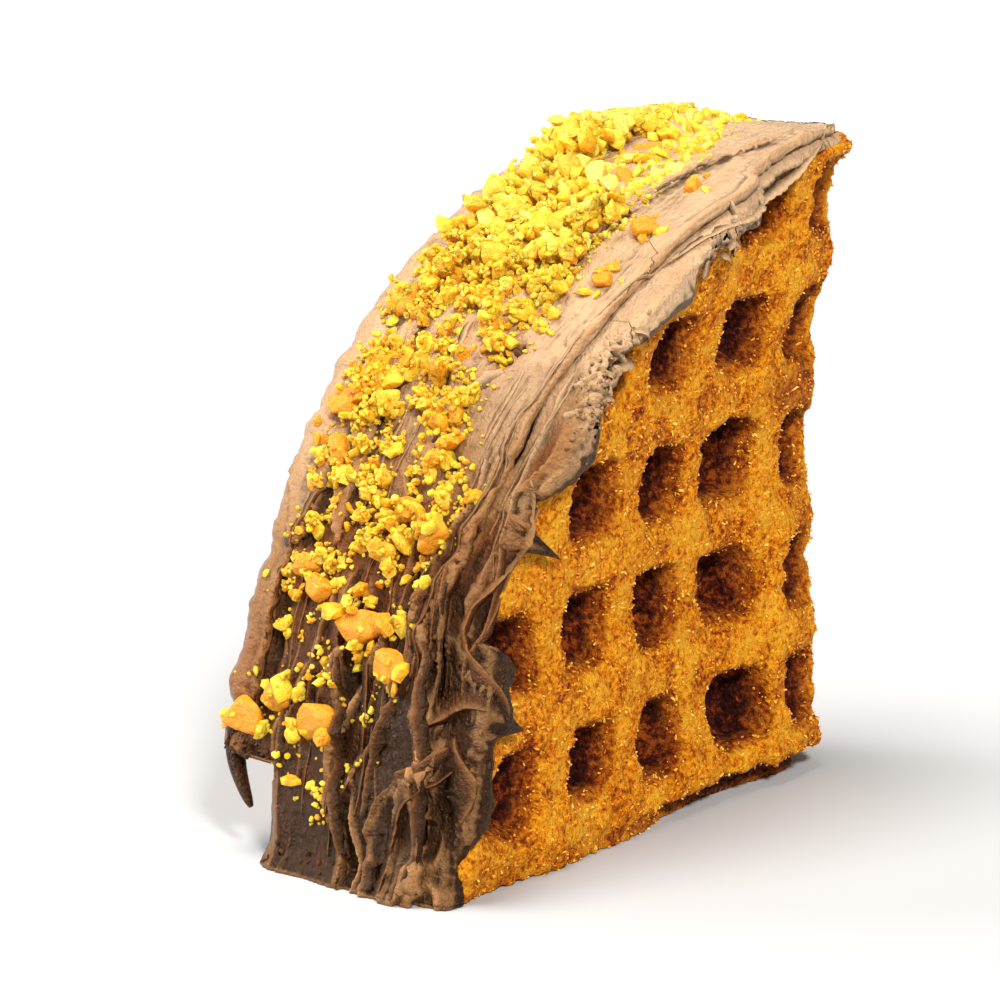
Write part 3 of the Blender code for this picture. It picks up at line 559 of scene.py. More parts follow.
def along_path(controls, count):
    """Evenly spaced points along a path, without its last point."""
    controls = np.array(controls)
    lengths = np.concatenate(([0.0], np.cumsum(np.linalg.norm(np.diff(controls, axis=0), axis=1))))
    wanted = np.linspace(0.0, lengths[-1], count + 1)[:-1]
    return np.stack([np.interp(wanted, lengths, controls[:, k]) for k in range(2)], axis=1)


def coat_section(degrees):
    """Section of the coat across the round side: radius and place across of its points, then for each point
    its nearness to an edge, how torn it is, how far it is on the outside, its share of the way from the lip to
    the rear, and its shading."""
    angle = math.radians(degrees)
    deep, rise = PLATE_RADIUS * math.cos(angle), PLATE_RADIUS * math.sin(angle)
    half, front = float(half_width(deep, rise)), float(front_half(deep, rise))
    taper = min(1.0, max(0.35, (90.0 - degrees) / 9.0))
    broken = BROKEN_HEIGHT > rise
    rear = BROKEN_WALL if broken else half
    border = float(across_curve(FRONT_BORDER, degrees)) + noise.noise((degrees / 0.8, 1.0, 0.0)) * 0.5
    front_lap = max(border, 0.3) * MM
    front -= 0.8 * max(-border, 0.0) * MM
    rear_lap = 0.0 if broken else max(lap_reach(REAR_LAPS, degrees, 9.0) * taper, 0.0003)
    inner = PLATE_RADIUS + CREAM_GAP
    wander = noise.noise((degrees / 2.4, 8.0, 0.0)) * 0.25 * MM
    lip = max(float(across_curve(LIP_LINE, degrees)) * MM + wander, -front - LIP_MARGIN)
    groove = max(lip + LIP_OVERHANG, -front + LIP_MARGIN)
    crest = float(coat_height(degrees, np.array([lip + 0.001]))[0][0]) * taper
    lift = min(max(0.7 + 0.9 * noise.noise((degrees / 5.0, 3.0, 2.0)), 0.1), 1.2)
    edge, front_edge = half + LAP_GAP, front + LAP_GAP

    def beside(at, half_at):
        set_back = 0.8 * max(-border, 0.0) * MM if half_at is front_half else 0.0
        return float(half_at(at * math.cos(angle), at * math.sin(angle))) + LAP_GAP - set_back

    def skirt_rise(y):
        return float(sheets_at(degrees, np.array([y]))[0][0]) * taper

    front_end, rear_end = inner - CREAM_GAP - front_lap, inner - CREAM_GAP - rear_lap
    front_middle, rear_middle = inner - 0.4 * front_lap, inner - 0.4 * rear_lap
    skirt = inner + SKIRT_THICKNESS * taper
    shares = (0.12, 0.3, 0.48, 0.66, 0.84)
    across = [-front_edge + share * (groove + front_edge) for share in shares]
    off = float(across_curve(LAP_LIFT, degrees)) * MM
    controls = [(front_end, -beside(front_end, front_half) - off),
                (front_end - 0.0001, -beside(front_end, front_half) - off - LAP_THICKNESS * 0.3),
                (front_end + 0.0003, -beside(front_end, front_half) - off - LAP_THICKNESS * 0.6),
                (front_middle, -beside(front_middle, front_half) - 0.7 * off - LAP_THICKNESS),
                (inner + SKIRT_THICKNESS * 0.6 * taper, -front_edge - 0.7 * LAP_THICKNESS - 0.2 * off)]
    controls += [(skirt + skirt_rise(y), y) for y in across]
    controls += [(inner + SKIRT_THICKNESS * taper * 0.7, groove),
                 (inner + crest * 0.6, lip + 0.1 * LIP_OVERHANG),
                 (inner + crest * 0.9, lip - (0.1 + 0.35 * lift) * LIP_OVERHANG),
                 (inner + crest + 0.6 * lift * LIP_HEIGHT, lip - (0.1 + 0.25 * lift) * LIP_OVERHANG),
                 (inner + crest + 0.5 * lift * LIP_HEIGHT, lip + 0.0004)]
    start, stop = lip + 0.0013, rear - 0.0016
    rear_count = int(COAT_LINES * REAR_SHARE)
    split = min(REAR_SPLIT, stop - 0.0012)
    y = np.concatenate((np.linspace(start, split, COAT_LINES - rear_count, endpoint=False),
                        np.linspace(split, stop, rear_count)))
    height, edges, pull = coat_height(degrees, y)
    ease = np.exp(-(y - start) / (0.6 * MM))
    main = np.stack((inner + height * taper + ease * 0.25 * lift * LIP_HEIGHT, y + pull * taper), axis=1)
    controls.append(tuple(main[0]))
    skirt_part = along_path(controls, SKIRT_LINES)
    rim = float(height[-1]) * taper
    tail = [tuple(main[-1]), (inner + 0.72 * rim, rear - 0.0002)]
    if broken:
        outside = rear + LAP_GAP + 0.8 * LAP_THICKNESS
        tail += [(inner + 0.3 * rim, outside), (inner - 0.0002, outside), (inner - 0.0004, rear + LAP_GAP),
                 (inner - 0.0003, rear), (inner - 0.0001, rear - 0.0005)]
    else:
        tail += [(inner + 0.3 * rim, edge + 0.8 * LAP_THICKNESS),
                 (rear_middle, beside(rear_middle, half_width) + LAP_THICKNESS),
                 (rear_end, beside(rear_end, half_width) + LAP_THICKNESS * 0.6),
                 (rear_end, beside(rear_end, half_width)), (inner, edge)]
    tail += [(inner, 0.004)]
    tail_part = along_path(tail, REAR_LINES)[1:]
    under = np.array([(inner, 0.004), (inner, -0.007), (inner, -front_edge)])
    section = np.concatenate((skirt_part, main, tail_part, under))
    foot = 0.0016 * math.exp(-(degrees / 1.1) ** 2)
    section[:, 0] += np.where(section[:, 0] > inner + 0.0005, foot, 0.0)
    torn = sum(amount * math.exp(-((degrees - where) / spread) ** 2) for where, spread, amount in TORN_SKIRT)
    skirt_line = np.arange(SKIRT_LINES)
    # The lip's edge gets the painted highlight
    lip_edge = 0.7 * np.exp(-((skirt_line - SKIRT_LINES + 7.0) / 1.1) ** 2)
    edge_values = np.concatenate((lip_edge, edges, np.zeros(len(tail_part) + len(under))))
    near_border = np.exp(-((skirt_line - 10.0) / 6.0) ** 2)
    # Painted shade in the crease under the lip, and painted light on the front lap
    under_lip = np.hypot(skirt_part[:, 0] - inner - 0.7 * SKIRT_THICKNESS * taper, skirt_part[:, 1] - groove)
    lap_tone = LAP_LIGHT * min(max((degrees - 8.0) / 24.0, 0.25), 1.0)
    shaded = CREASE_SHADE * np.exp(-(under_lip / (0.7 * MM)) ** 2) - lap_tone * near_border
    past_skirt = np.zeros(COAT_LINES + len(tail_part) + len(under))
    shaded = np.concatenate((shaded, past_skirt))
    torn_values = np.concatenate((torn * near_border, past_skirt))
    outer = np.concatenate((np.ones(SKIRT_LINES + COAT_LINES), np.linspace(1.0, 0.0, len(tail_part)),
                            np.zeros(len(under))))
    outer[:3] = (0.0, 0.3, 0.7)
    share = np.clip((section[:, 1] - lip) / (half - lip), -0.4, 1.0)
    return section, edge_values, torn_values, outer, share, shaded


broken_at = math.degrees(math.asin(BROKEN_HEIGHT / PLATE_RADIUS))
ring_angles = [a for a in np.linspace(0.0, COAT_TOP, COAT_RINGS) if abs(a - broken_at) > 0.12]
ring_angles = np.array(sorted(ring_angles + [broken_at - 0.05, broken_at + 0.05]))
sections = [coat_section(float(degrees)) for degrees in ring_angles]
radii = np.array([s[0][:, 0] for s in sections])
places = np.array([s[0][:, 1] for s in sections])
edge_value, torn_value, outer_value, share, shaded = (np.array([s[k] for s in sections]) for k in range(1, 6))
turns = np.radians(ring_angles)[:, None]
coat_grid = np.stack((-radii * np.cos(turns), places, np.maximum(radii * np.sin(turns), 0.0)), axis=2)
coat_grid += np.array(FOLD_PLACE)

flow = np.gradient(coat_grid, axis=0)
around = np.roll(coat_grid, -1, axis=1) - np.roll(coat_grid, 1, axis=1)
normals = np.cross(around, flow)
normals /= np.maximum(np.linalg.norm(normals, axis=2, keepdims=True), 1e-12)
middle = normals[:, SKIRT_LINES + COAT_LINES // 2]
radial = np.concatenate((-np.cos(turns), np.zeros_like(turns), np.sin(turns)), axis=1)
if float((middle * radial).sum(axis=1).mean()) < 0.0:
    normals = -normals

ring_grid = np.repeat(ring_angles[:, None], share.shape[1], axis=1)
ring_at = ring_grid.ravel()
share_at = share.ravel()
flat = coat_grid.reshape(-1, 3)


def stroke_noise(across, along, seed):
    """Noise that is drawn out along the spatula's strokes: lumps a share across and degrees along."""
    where = np.stack((share_at / across, ring_at / along, np.full_like(share_at, seed)), axis=1)
    return np.array([noise.noise(place) for place in where.tolist()])


# Strokes lie like roof tiles: each rises slowly to a thin edge and drops, some towards the front and some
# towards the rear
STROKES, STROKE_EDGE = 8.5, 0.92
phase = share_at * STROKES + stroke_noise(0.42, 15.0, 1.0) * 2.6 + stroke_noise(0.15, 4.0, 2.0) * 0.35
tile = np.floor(phase)
within = phase - tile
within = np.where(tile % 3 == 0, 1.0 - within, within)
tile_place = np.stack((tile * 5.3, ring_at / 8.0, np.zeros_like(tile)), axis=1)
strength = np.clip(np.array([noise.noise(place) for place in tile_place.tolist()]) * 2.6 + 0.45, 0.0, 1.35)
rising = np.clip(within / STROKE_EDGE, 0.0, 1.0) ** 1.8
dropping = np.clip((1.0 - within) / 0.08, 0.0, 1.0)
tiles = np.where(within < STROKE_EDGE, rising, dropping) * strength
tile_edge = np.exp(-((within - 0.91) / 0.06) ** 2) * strength

# The strokes are deep up to a third of the way and faint above, and the middle of the foot is smooth
stroke_depth = np.clip((44.0 - ring_at) / 16.0, 0.16, 1.0)
fine_strokes = 1.0 - np.abs(stroke_noise(0.024, 5.0, 4.0)) * 2.2
stroke_depth *= 1.0 - 0.8 * np.exp(-((share_at - 0.6) / 0.22) ** 2 - (ring_at / 13.0) ** 2)
relief = (tiles - 0.3) * stroke_depth + fine_strokes * (0.08 + 0.10 * stroke_depth)
relief += stroke_noise(0.011, 2.0, 7.0) * 0.06
relief += lumps(flat, 1.2, 2.0) * 0.09 + lumps(flat, 0.62, 6.0) * 0.06 + lumps(flat, 4.5, 4.0) * 0.2
rear_lumps = stroke_noise(0.2, 2.2, 11.0) + 0.4 * stroke_noise(0.1, 0.7, 12.0)
relief += rear_lumps * 0.75 * np.clip((share_at - 0.72) / 0.2, 0.0, 1.0)
crumble = np.abs(lumps(flat, 1.3, 3.0)) * 1.5 + lumps(flat, 0.75, 8.0) * 0.7 - 0.35
relief += crumble * torn_value.ravel()
relief *= outer_value.ravel()
# The strokes' edges also get the painted highlight
stroke_edge = (tile_edge * stroke_depth * outer_value.ravel()).reshape(share.shape)
edge_value = np.maximum(edge_value, stroke_edge)

# How far each place lies below what is around it, for painted shade in its hollows, and how light the cream is
# painted there: darker at the foot as painted shade, and paler up the side and along the rear shoulder as
# painted sheen and light
heights = radii + relief.reshape(share.shape) * MM
around_it = sum(np.roll(heights, k, axis=1) for k in range(-7, 8)) / 15.0
around_it = sum(np.roll(around_it, k, axis=0) for k in range(-2, 3)) / 5.0
cavity = np.clip((around_it - heights) / (0.34 * MM), -1.0, 1.0) * outer_value
LIGHT_BY_ANGLE = ((0, 0.02), (8, 0.06), (16, 0.14), (25, 0.32), (38, 0.77), (50, 0.99), (70, 0.98), (90, 0.98))
tone = across_curve(LIGHT_BY_ANGLE, ring_grid) + 0.3 * np.clip((share - 0.7) / 0.2, 0.0, 1.0)
# Painted shade on the skirt under the lip
in_skirt_shade = np.clip((-0.02 - share) / 0.12, 0.0, 1.0)
tone -= shaded + in_skirt_shade * np.interp(ring_grid, (36.0, 56.0), (0.34, 0.16))
# Painted shade low at the front of the foot
low_front_shade = np.clip((0.45 - share) / 0.35, 0.0, 1.0)
tone -= 0.24 * low_front_shade * np.clip((34.0 - ring_grid) / 12.0, 0.0, 1.0)
# Painted shade inside the torn hollows
for angle, middle_at, fall, along, wide in HOLLOWS:
    inside_hollow = ((ring_grid - angle) / along) ** 2 + ((places / MM - middle_at) / wide) ** 2
    tone -= HOLLOW_SHADE * fall * np.exp(-1.4 * inside_hollow)
coat_grid = coat_grid + normals * (relief.reshape(share.shape) * MM)[:, :, None]
coat_grid[:, :, 2] = np.maximum(coat_grid[:, :, 2], 0.0)
coat_grid[0, :, 2] = 0.0

coat = shell_from_grid("cream_coat", coat_grid)
write_ring_values(coat, sheet_edge=edge_value, torn=torn_value, cavity=cavity, tone=tone)
close_shell(coat)

# Chocolate and hazelnut cream, spread with a spatula: matt where it was torn, faintly glossy where it was
# smoothed, and milky brown, with painted shade in its hollows and a painted highlight on thin lifted edges
# and raised spots
spread_cream, tree, shader, place = new_finish("spread chocolate cream")
edge_in = add_node(tree, "ShaderNodeAttribute", attribute_name="sheet_edge").outputs["Fac"]
torn_in = add_node(tree, "ShaderNodeAttribute", attribute_name="torn").outputs["Fac"]
cavity_in = add_node(tree, "ShaderNodeAttribute", attribute_name="cavity").outputs["Fac"]
tone_in = add_node(tree, "ShaderNodeAttribute", attribute_name="tone").outputs["Fac"]
clouds = add_node(tree, "ShaderNodeTexNoise",
                  {"Vector": place, "Scale": 1 / (4 * MM), "Detail": 4.0}).outputs["Fac"]
clouded = add_node(tree, "ShaderNodeMath", {0: clouds, 1: 0.5}, operation="SUBTRACT").outputs[0]
# The coat's painted light and shade, with random clouds, picks the cream's colour
mixed = add_node(tree, "ShaderNodeMath",
                 {0: clouded, 1: 0.32, 2: tone_in}, operation="MULTIPLY_ADD").outputs[0]
cream_colour = add_node(tree, "ShaderNodeValToRGB", {"Fac": mixed}, stops=(
    (0.0, "#260E04"), (0.2, "#4A220B"), (0.42, "#703F1C"), (0.66, "#916B45"), (0.85, "#B08C68"),
    (1.0, "#CFAA82"))).outputs["Color"]
# Painted shade in hollows and creases, by how far each place lies below what is around it
painted_hollow_shade = add_node(tree, "ShaderNodeMapRange", {"Value": cavity_in, "From Min": 0.05, "From Max": 0.8,
                                            "To Max": 0.85}).outputs[0]
with_hollow_shade = add_node(tree, "ShaderNodeMix", {0: painted_hollow_shade, 6: cream_colour, 7: linear("#1C0D06")},
                    data_type="RGBA").outputs[2]
# Painted highlight on raised spots and on thin lifted edges
raised = add_node(tree, "ShaderNodeMapRange", {"Value": cavity_in, "From Min": -0.3, "From Max": -1.0,
                                              "To Max": 0.34}).outputs[0]
painted_edge_highlight = add_node(tree, "ShaderNodeMath", {0: edge_in, 1: 0.5, 2: raised}, operation="MULTIPLY_ADD",
                       use_clamp=True).outputs[0]
highlighted_cream = add_node(tree, "ShaderNodeMix", {0: painted_edge_highlight, 6: with_hollow_shade, 7: linear("#B98453")},
                 data_type="RGBA").outputs[2]
pores = add_node(tree, "ShaderNodeTexNoise", {"Vector": place, "Scale": 1 / (0.4 * MM), "Detail": 3.0,
                                             "Roughness": 0.6}).outputs["Fac"]
drag = add_node(tree, "ShaderNodeTexNoise",
                {"Vector": place, "Scale": 1 / (1.1 * MM), "Detail": 2.0}).outputs["Fac"]
wrinkles = add_node(tree, "ShaderNodeTexVoronoi",
                    {"Vector": place, "Scale": 1 / (0.9 * MM)}).outputs["Distance"]
creased = add_node(tree, "ShaderNodeMath",
                   {0: wrinkles, 1: -0.35, 2: pores}, operation="MULTIPLY_ADD").outputs[0]
skin = add_node(tree, "ShaderNodeMath", {0: drag, 1: 0.9, 2: creased}, operation="MULTIPLY_ADD").outputs[0]
bump = add_node(tree, "ShaderNodeBump",
                {"Height": skin, "Strength": 1.0, "Distance": 0.5 * MM}).outputs["Normal"]
dull = add_node(tree, "ShaderNodeMapRange", {"Value": torn_in, "From Max": 0.8, "To Min": 0.26,
                                            "To Max": 0.48}).outputs[0]
tree.links.new(highlighted_cream, shader.inputs["Base Color"])
tree.links.new(dull, shader.inputs["Roughness"])
tree.links.new(bump, shader.inputs["Normal"])
shader.inputs["IOR"].default_value = 1.46
shader.inputs["Specular IOR Level"].default_value = 0.45
shader.inputs["Specular Tint"].default_value = linear("#FFD3A0")
for piece in (filling, coat):
    piece.data.materials.append(spread_cream)
    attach(piece, "root")
    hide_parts("chocolate_cream")

# Ridges: the thin crests of cream that the spatula left along the edges of its strokes, which stand up from
# the coat and lean over, the curled flaps at its front border, and the torn crumbs of cream beside them.
# A crest's section goes over to the side and up, as shares of its thickness and height.
PER_DEGREE = PLATE_RADIUS / MM * math.radians(1.0)
RIDGE_SHAPE = ((-2.4, -0.3), (-1.3, 0.12), (-0.55, 0.5), (-0.08, 0.97), (0.05, 1.0), (0.14, 0.6),
               (0.42, -0.3), (0.0, -0.5))
# Crests: height and thickness in millimetres, lean, then the line's points as angle and place across
RIDGES = ((0.9, 0.45, -0.6, ((48, -16.6), (44, -15.2), (39.1, -14.5), (36.2, -14.3), (32.8, -13.9),
                             (30.9, -13.2), (27.4, -12.5), (24.6, -12.1), (21.3, -11.1), (17, -11.6))),
          (1.0, 0.7, 0.5, ((32, -12.9), (29.4, -10.3), (28.1, -9.8), (25.6, -9.3), (24.3, -8.6),
                           (22, -9.0), (17.7, -9.1), (15.3, -8.7), (13, -6.8), (10, -5.6), (6, -5.0))),
          (0.8, 0.7, 0.5, ((20, -12.1), (19, -13.1), (17.8, -12.5), (16.4, -12.7), (14.3, -13.9),
                           (11, -14.9), (7, -15.2), (2, -14.2))),
          (1.0, 1.0, -0.7, ((34.5, -18.4), (32.7, -19.1), (30.2, -19.6), (27.6, -18.9), (24.7, -16.9),
                            (22.3, -16.3), (20.9, -16.7), (19.2, -18.5), (17.6, -21.0), (16.0, -23.0))),
          (0.9, 0.6, 0.4, ((17.7, 2.2), (15.3, 1.3), (13, 0.9), (10.6, 0.3), (8.9, 0.3), (4.2, -1.9),
                           (1, -3.1))),
          (0.7, 0.6, -0.6, ((27, -2.4), (22, -3.6), (17, -3.0), (12.7, -3.6), (9.3, -3.5), (6.5, -0.9))),
          (1.0, 1.0, 0.6, ((12.6, -17.6), (11.5, -16.0), (9.3, -12.0), (7.6, -8.2), (6.7, -7.1), (5, -6.7),
                           (2.3, -6.9), (-0.2, -7.5))),
          (0.8, 0.7, -0.5, ((11.0, -19.0), (9.8, -17.0), (7.3, -12.4), (2.7, -10.5), (0, -10.8))),
          (0.9, 1.5, -0.8, ((13.4, -18.0), (11.9, -19.4), (10.4, -20.6), (8.4, -20.6), (6.8, -19.6))),
          (0.9, 1.6, 0.6, ((13.2, -13.9), (15.2, -16.2), (16.2, -19.0), (16.0, -21.0))),
          (0.6, 0.6, -0.4, ((36, 12.0), (32.4, 13.1), (27.1, 14.5), (22.8, 15.4), (20.2, 15.4), (17, 15.3),
                            (14, 15.6))),
          (0.7, 0.6, 0.8, ((46.0, -4.6), (44.7, -7.4), (42.6, -5.6), (40.1, -3.4), (36, -1.8))),
          (0.5, 0.6, -0.5, ((54, 0.6), (49.9, 1.7), (46.6, 1.7), (42.7, 0.3), (40, -1.4))),
          (0.35, 0.5, 0.5, ((56.4, -5.7), (61.3, -7.7), (69.9, -10.9), (75.8, -13.9))),
          (0.8, 0.42, -0.7, ((86, -14.4), (83.7, -16.6), (76.6, -19.8), (69.9, -21.0), (66.4, -21.8),
                             (62, -21.4), (57, -20.0), (53, -18.0), (49, -16.4))))
LOOSE_RIDGES = 30
TORN_CRESTS = 34
CREAM_BITS = 260
# Where crumbs and torn crests gather: angle and its spread, place across and its spread, and weight
BIT_PLACES = ((44.5, 4.4, -21.4, 0.9, 0.5), (62.5, 3.0, -23.4, 0.8, 0.25), (14.5, 2.5, -22.0, 1.2, 0.05),
              (24.0, 12.0, -15.0, 5.0, 0.1), (8.9, 0.7, 17.0, 2.4, 0.12), (1.5, 1.2, 0.0, 14.0, 0.08))


def in_front(degrees, across):
    """Where to look for the surface at an angle and a place across, and the outward direction there.
    Beyond the front edge the place lies over the waffle's front face."""
    angle = math.radians(degrees)
    radial = Vector((-math.cos(angle), 0.0, math.sin(angle)))
    side = float(front_half(PLATE_RADIUS * math.cos(angle), PLATE_RADIUS * math.sin(angle))) / MM - 2.0
    past = max(-across - side, 0.0)
    turn = min(past / 4.0, 1.0) * math.pi / 2.0
    far = PLATE_RADIUS - (2.0 + max(past - 4.0, 0.0)) * MM
    place = radial * far + Vector((0.0, max(across, -side) * MM, 0.0)) + FOLD_PLACE
    return place, radial * math.cos(turn) - Vector((0.0, math.sin(turn), 0.0))


def surface_at(surface, degrees, across):
    """Where the surface lies, the outward direction there, and whether it was met at all."""
    place, out = in_front(degrees, across)
    hit, _, _, _ = surface.ray_cast(place + out * 0.02, -out, 0.024)
    return (hit or place + out * 0.0026), out, hit is not None


def eased(line, rounds):
    """A line of points with its kinks smoothed, between the same ends."""
    for _ in range(rounds):
        line[1:-1] = (line[:-2] + 2.0 * line[1:-1] + line[2:]) / 4.0
    return line


def cream_ridge(surface, number, height, thick, lean, line):
    """A crest along a line of angles and places across, ragged and leaning, thin at both ends."""
    stops = np.array(line, dtype=float)
    steps = np.hypot(np.diff(stops[:, 0]) * PER_DEGREE, np.diff(stops[:, 1]))
    run = np.concatenate(([0.0], np.cumsum(steps)))
    count = max(int(run[-1] / 0.38), 8)
    wanted = np.linspace(0.0, run[-1], count)
    track = eased(np.stack([np.interp(wanted, run, stops[:, k]) for k in range(2)], axis=1), 8)
    found = [surface_at(surface, max(float(d), 0.0), float(a)) for d, a in track]
    spots = eased(np.array([tuple(spot) for spot, _, _ in found]), 3)
    rows = []
    for k in range(count):
        ahead = Vector(spots[min(k + 1, count - 1)] - spots[max(k - 1, 0)]).normalized()
        out = found[k][1]
        beside = ahead.cross(out).normalized()
        ends = math.sin(math.pi * ((k + 0.6) / count)) ** 0.6
        at = wanted[k]
        tall = height * ends * (0.8 + 0.5 * noise.noise((at / 3.0, number * 2.7, 0.0))
                                + 0.4 * noise.noise((at / 0.9, number * 1.3, 4.0)))
        wide = thick * (0.4 + 0.6 * ends) * (1.0 + 0.35 * noise.noise((at / 1.4, number, 7.0)))
        sway = 0.7 * lean * (1.0 + 0.8 * noise.noise((at / 3.5, number * 1.9, 9.0)))
        row = []
        for over, up in RIDGE_SHAPE:
            sideways = math.copysign(over, over * lean) * wide + (sway * up * up * tall if up > 0.0 else 0.0)
            lifted = up * tall if up > 0.0 else up * (0.4 + 0.6 * ends)
            row.append(tuple(Vector(spots[k]) + (beside * sideways + out * lifted) * MM))
        rows.append(row)
    grid = np.array(rows)
    grid[:, :, 2] = np.maximum(grid[:, :, 2], 0.0)
    crest = shell_from_grid("cream_ridge", grid)
    # Painted highlight on the crests' tips and painted shade at their foot
    ups = np.array([max(up, 0.0) for _, up in RIDGE_SHAPE])
    tips = np.repeat(ups[None, :], count, axis=0)
    lit_tips = across_curve(LIGHT_BY_ANGLE, track[:, 0])[:, None] + tips * 0.12
    write_ring_values(crest, sheet_edge=tips ** 3 * 0.6, torn=tips * 0.3, cavity=0.7 - tips, tone=lit_tips)
    close_shell(crest)
    return crest


coat_surface = BVHTree.FromObject(coat, bpy.context.evaluated_depsgraph_get())
crests = [cream_ridge(coat_surface, number, *one) for number, one in enumerate(RIDGES)]
draw = random.Random(57)
for number in range(LOOSE_RIDGES):
    foot, across = draw.uniform(0.5, 40.0), draw.uniform(-18.0, 13.0)
    steps, drift = draw.randrange(4, 9), draw.uniform(-0.5, 0.4)
    line = tuple((foot + k * 2.4, across + k * drift + draw.uniform(-0.3, 0.3)) for k in range(steps))
    crests.append(cream_ridge(coat_surface, 40 + number, draw.uniform(0.2, 0.5), draw.uniform(0.35, 0.6),
                              draw.uniform(-0.6, 0.6), line))
for number in range(TORN_CRESTS):
    angle, spread, across, width, _ = BIT_PLACES[0] if number % 3 else BIT_PLACES[1]
    degrees, across = draw.gauss(angle, spread * 0.55), draw.gauss(across + 0.4, width)
    turn, length = draw.uniform(0.0, math.tau), draw.uniform(0.5, 1.3)
    line = tuple((degrees + k * length * math.sin(turn + 0.3 * k) * 0.6,
                  across + k * length * math.cos(turn + 0.3 * k)) for k in range(-1, 3))
    crests.append(cream_ridge(coat_surface, 90 + number, draw.uniform(0.4, 1.1), draw.uniform(0.25, 0.5),
                              draw.choice((-1.0, 1.0)) * draw.uniform(0.4, 1.2), line))
make_active(crests[0])
for crest in crests:
    crest.select_set(True)
bpy.ops.object.join()
ridges = bpy.context.object
ridges.name = "cream_ridges"

bit_templates = [sugar_template(seed) for seed in range(20, 26)]
placed = []
for _ in range(CREAM_BITS):
    angle, spread, across, width, _ = draw.choices(BIT_PLACES, weights=[one[4] for one in BIT_PLACES])[0]
    degrees = max(draw.gauss(angle, spread * 0.6), 0.5)
    spot, out, landed = surface_at(coat_surface, degrees, draw.gauss(across, width))
    if not landed:
        continue
    size = draw.uniform(0.16, 0.5) * MM
    turn = Euler((draw.uniform(0, 6.28), draw.uniform(0, 6.28), 0.0)).to_matrix()
    turn = turn @ Matrix.Diagonal((size, size * draw.uniform(0.4, 1.0), size * draw.uniform(0.8, 2.0)))
    placed.append((draw.randrange(6), Matrix.Translation(spot + out * size * 0.3) @ turn.to_4x4(), degrees))
bits = join_copies("cream_bits", bit_templates, placed)
bits.data.shade_smooth()
at_angle = np.empty(len(bits.data.vertices), dtype=np.float32)
bits.data.attributes["piece_shade"].data.foreach_get("value", at_angle)
# Painted light by angle, a little darker, and a faint painted highlight, as on the coat
write_values(bits, "tone", across_curve(LIGHT_BY_ANGLE, at_angle) * 0.9)
write_values(bits, "torn", np.full_like(at_angle, 0.6))
write_values(bits, "sheet_edge", np.full_like(at_angle, 0.15))
for piece in (ridges, bits):
    piece.data.materials.append(spread_cream)
    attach(piece, "root")
    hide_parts("chocolate_cream")

# Drip: a hooked string of the same cream, which ran from the end of the rear lap above the broken corner and
# set as it cooled. Its places are angle, place across and radius, in millimetres.
DRIP = ((12.0, 18.6, 1.7), (10.4, 19.8, 1.9), (8.8, 19.9, 1.5), (7.3, 19.2, 1.2), (5.9, 18.0, 0.95),
        (4.8, 16.9, 0.7), (4.2, 16.2, 0.35))
DRIP_SIDES = 16


def coat_place(degrees, across, height):
    """A point over the plate's round edge: angle, place across and height over it, both in millimetres."""
    angle, far = math.radians(degrees), PLATE_RADIUS + height * MM
    return Vector((-far * math.cos(angle), across * MM, far * math.sin(angle))) + FOLD_PLACE


def string_of_cream(name, stops, sides, height):
    """A tapering string through places on the coat, with closed ends."""
    rings = []
    centres = [coat_place(degrees, across, height) for degrees, across, _ in stops]
    for k, (centre, (_, _, thick)) in enumerate(zip(centres, stops)):
        ahead = centres[min(k + 1, len(stops) - 1)] - centres[max(k - 1, 0)]
        turn = ahead.to_track_quat("Z", "Y").to_matrix()
        ring = [centre + turn @ Vector((math.cos(a), math.sin(a), 0.0)) * thick * MM
                for a in np.linspace(0.0, math.tau, sides, endpoint=False)]
        rings.append(ring)
    body = shell_from_grid(name, np.array(rings))
    close_shell(body)
    finish_with(body, "SUBSURF", levels=2, render_levels=2)
    return body


drip = string_of_cream("cream_drip", DRIP, DRIP_SIDES, 1.6)
drip.data.materials.append(spread_cream)
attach(drip, "root")
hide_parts("chocolate_cream")

# Chopped nuts: roasted and chopped, pressed into the cream while it was soft. A few large pieces keep the
# nut's smooth rounded side, most are angular chips, and the finest are crumbs between them.
# Large pieces: angle, place across and length in millimetres
LARGE_NUTS = ((11.6, 17.0, 6.4), (12.6, 4.0, 6.2), (20.4, -0.6, 7.0), (17.9, -7.4, 5.4), (22.8, 7.2, 4.4),
              (24.3, 10.8, 4.2), (13.6, 11.6, 4.6), (48.8, 15.0, 5.6), (38.4, 15.0, 5.2), (28.2, -8.6, 5.0),
              (60.0, -13.2, 3.8), (66.4, -13.2, 4.4), (66.0, 5.2, 5.4), (58.9, 9.5, 5.2), (34.4, 13.2, 4.6),
              (67.5, -1.0, 5.0), (73.5, 3.0, 5.4), (53.5, -13.6, 3.0))
# The front and the rear edge of the band of nuts, and how densely they lie there, by angle
NUT_BAND_FRONT = ((5, 0.0), (15, -9.5), (27, -9.5), (32, -12.5), (37, -8.0), (42, -6.0), (47, -9.0),
                  (50, -9.5), (55, -7.0), (66, -7.0), (72, -8.5), (77, -5.0), (81, -1.0), (88, 4.0))
NUT_BAND_REAR = ((5, 6.0), (12, 16.0), (26, 15.0), (45, 18.0), (50, 16.5), (57, 13.0), (64, 13.0),
                 (72, 16.0), (76, 12.5), (85, 10.5), (88, 7.0))
NUT_DENSITY = ((5, 0.05), (12, 0.10), (24, 0.22), (28, 0.44), (47, 0.46), (52, 0.8), (56, 1.4), (84, 1.4),
               (88, 0.5))
DENSEST = max(dense for _, dense in NUT_DENSITY)
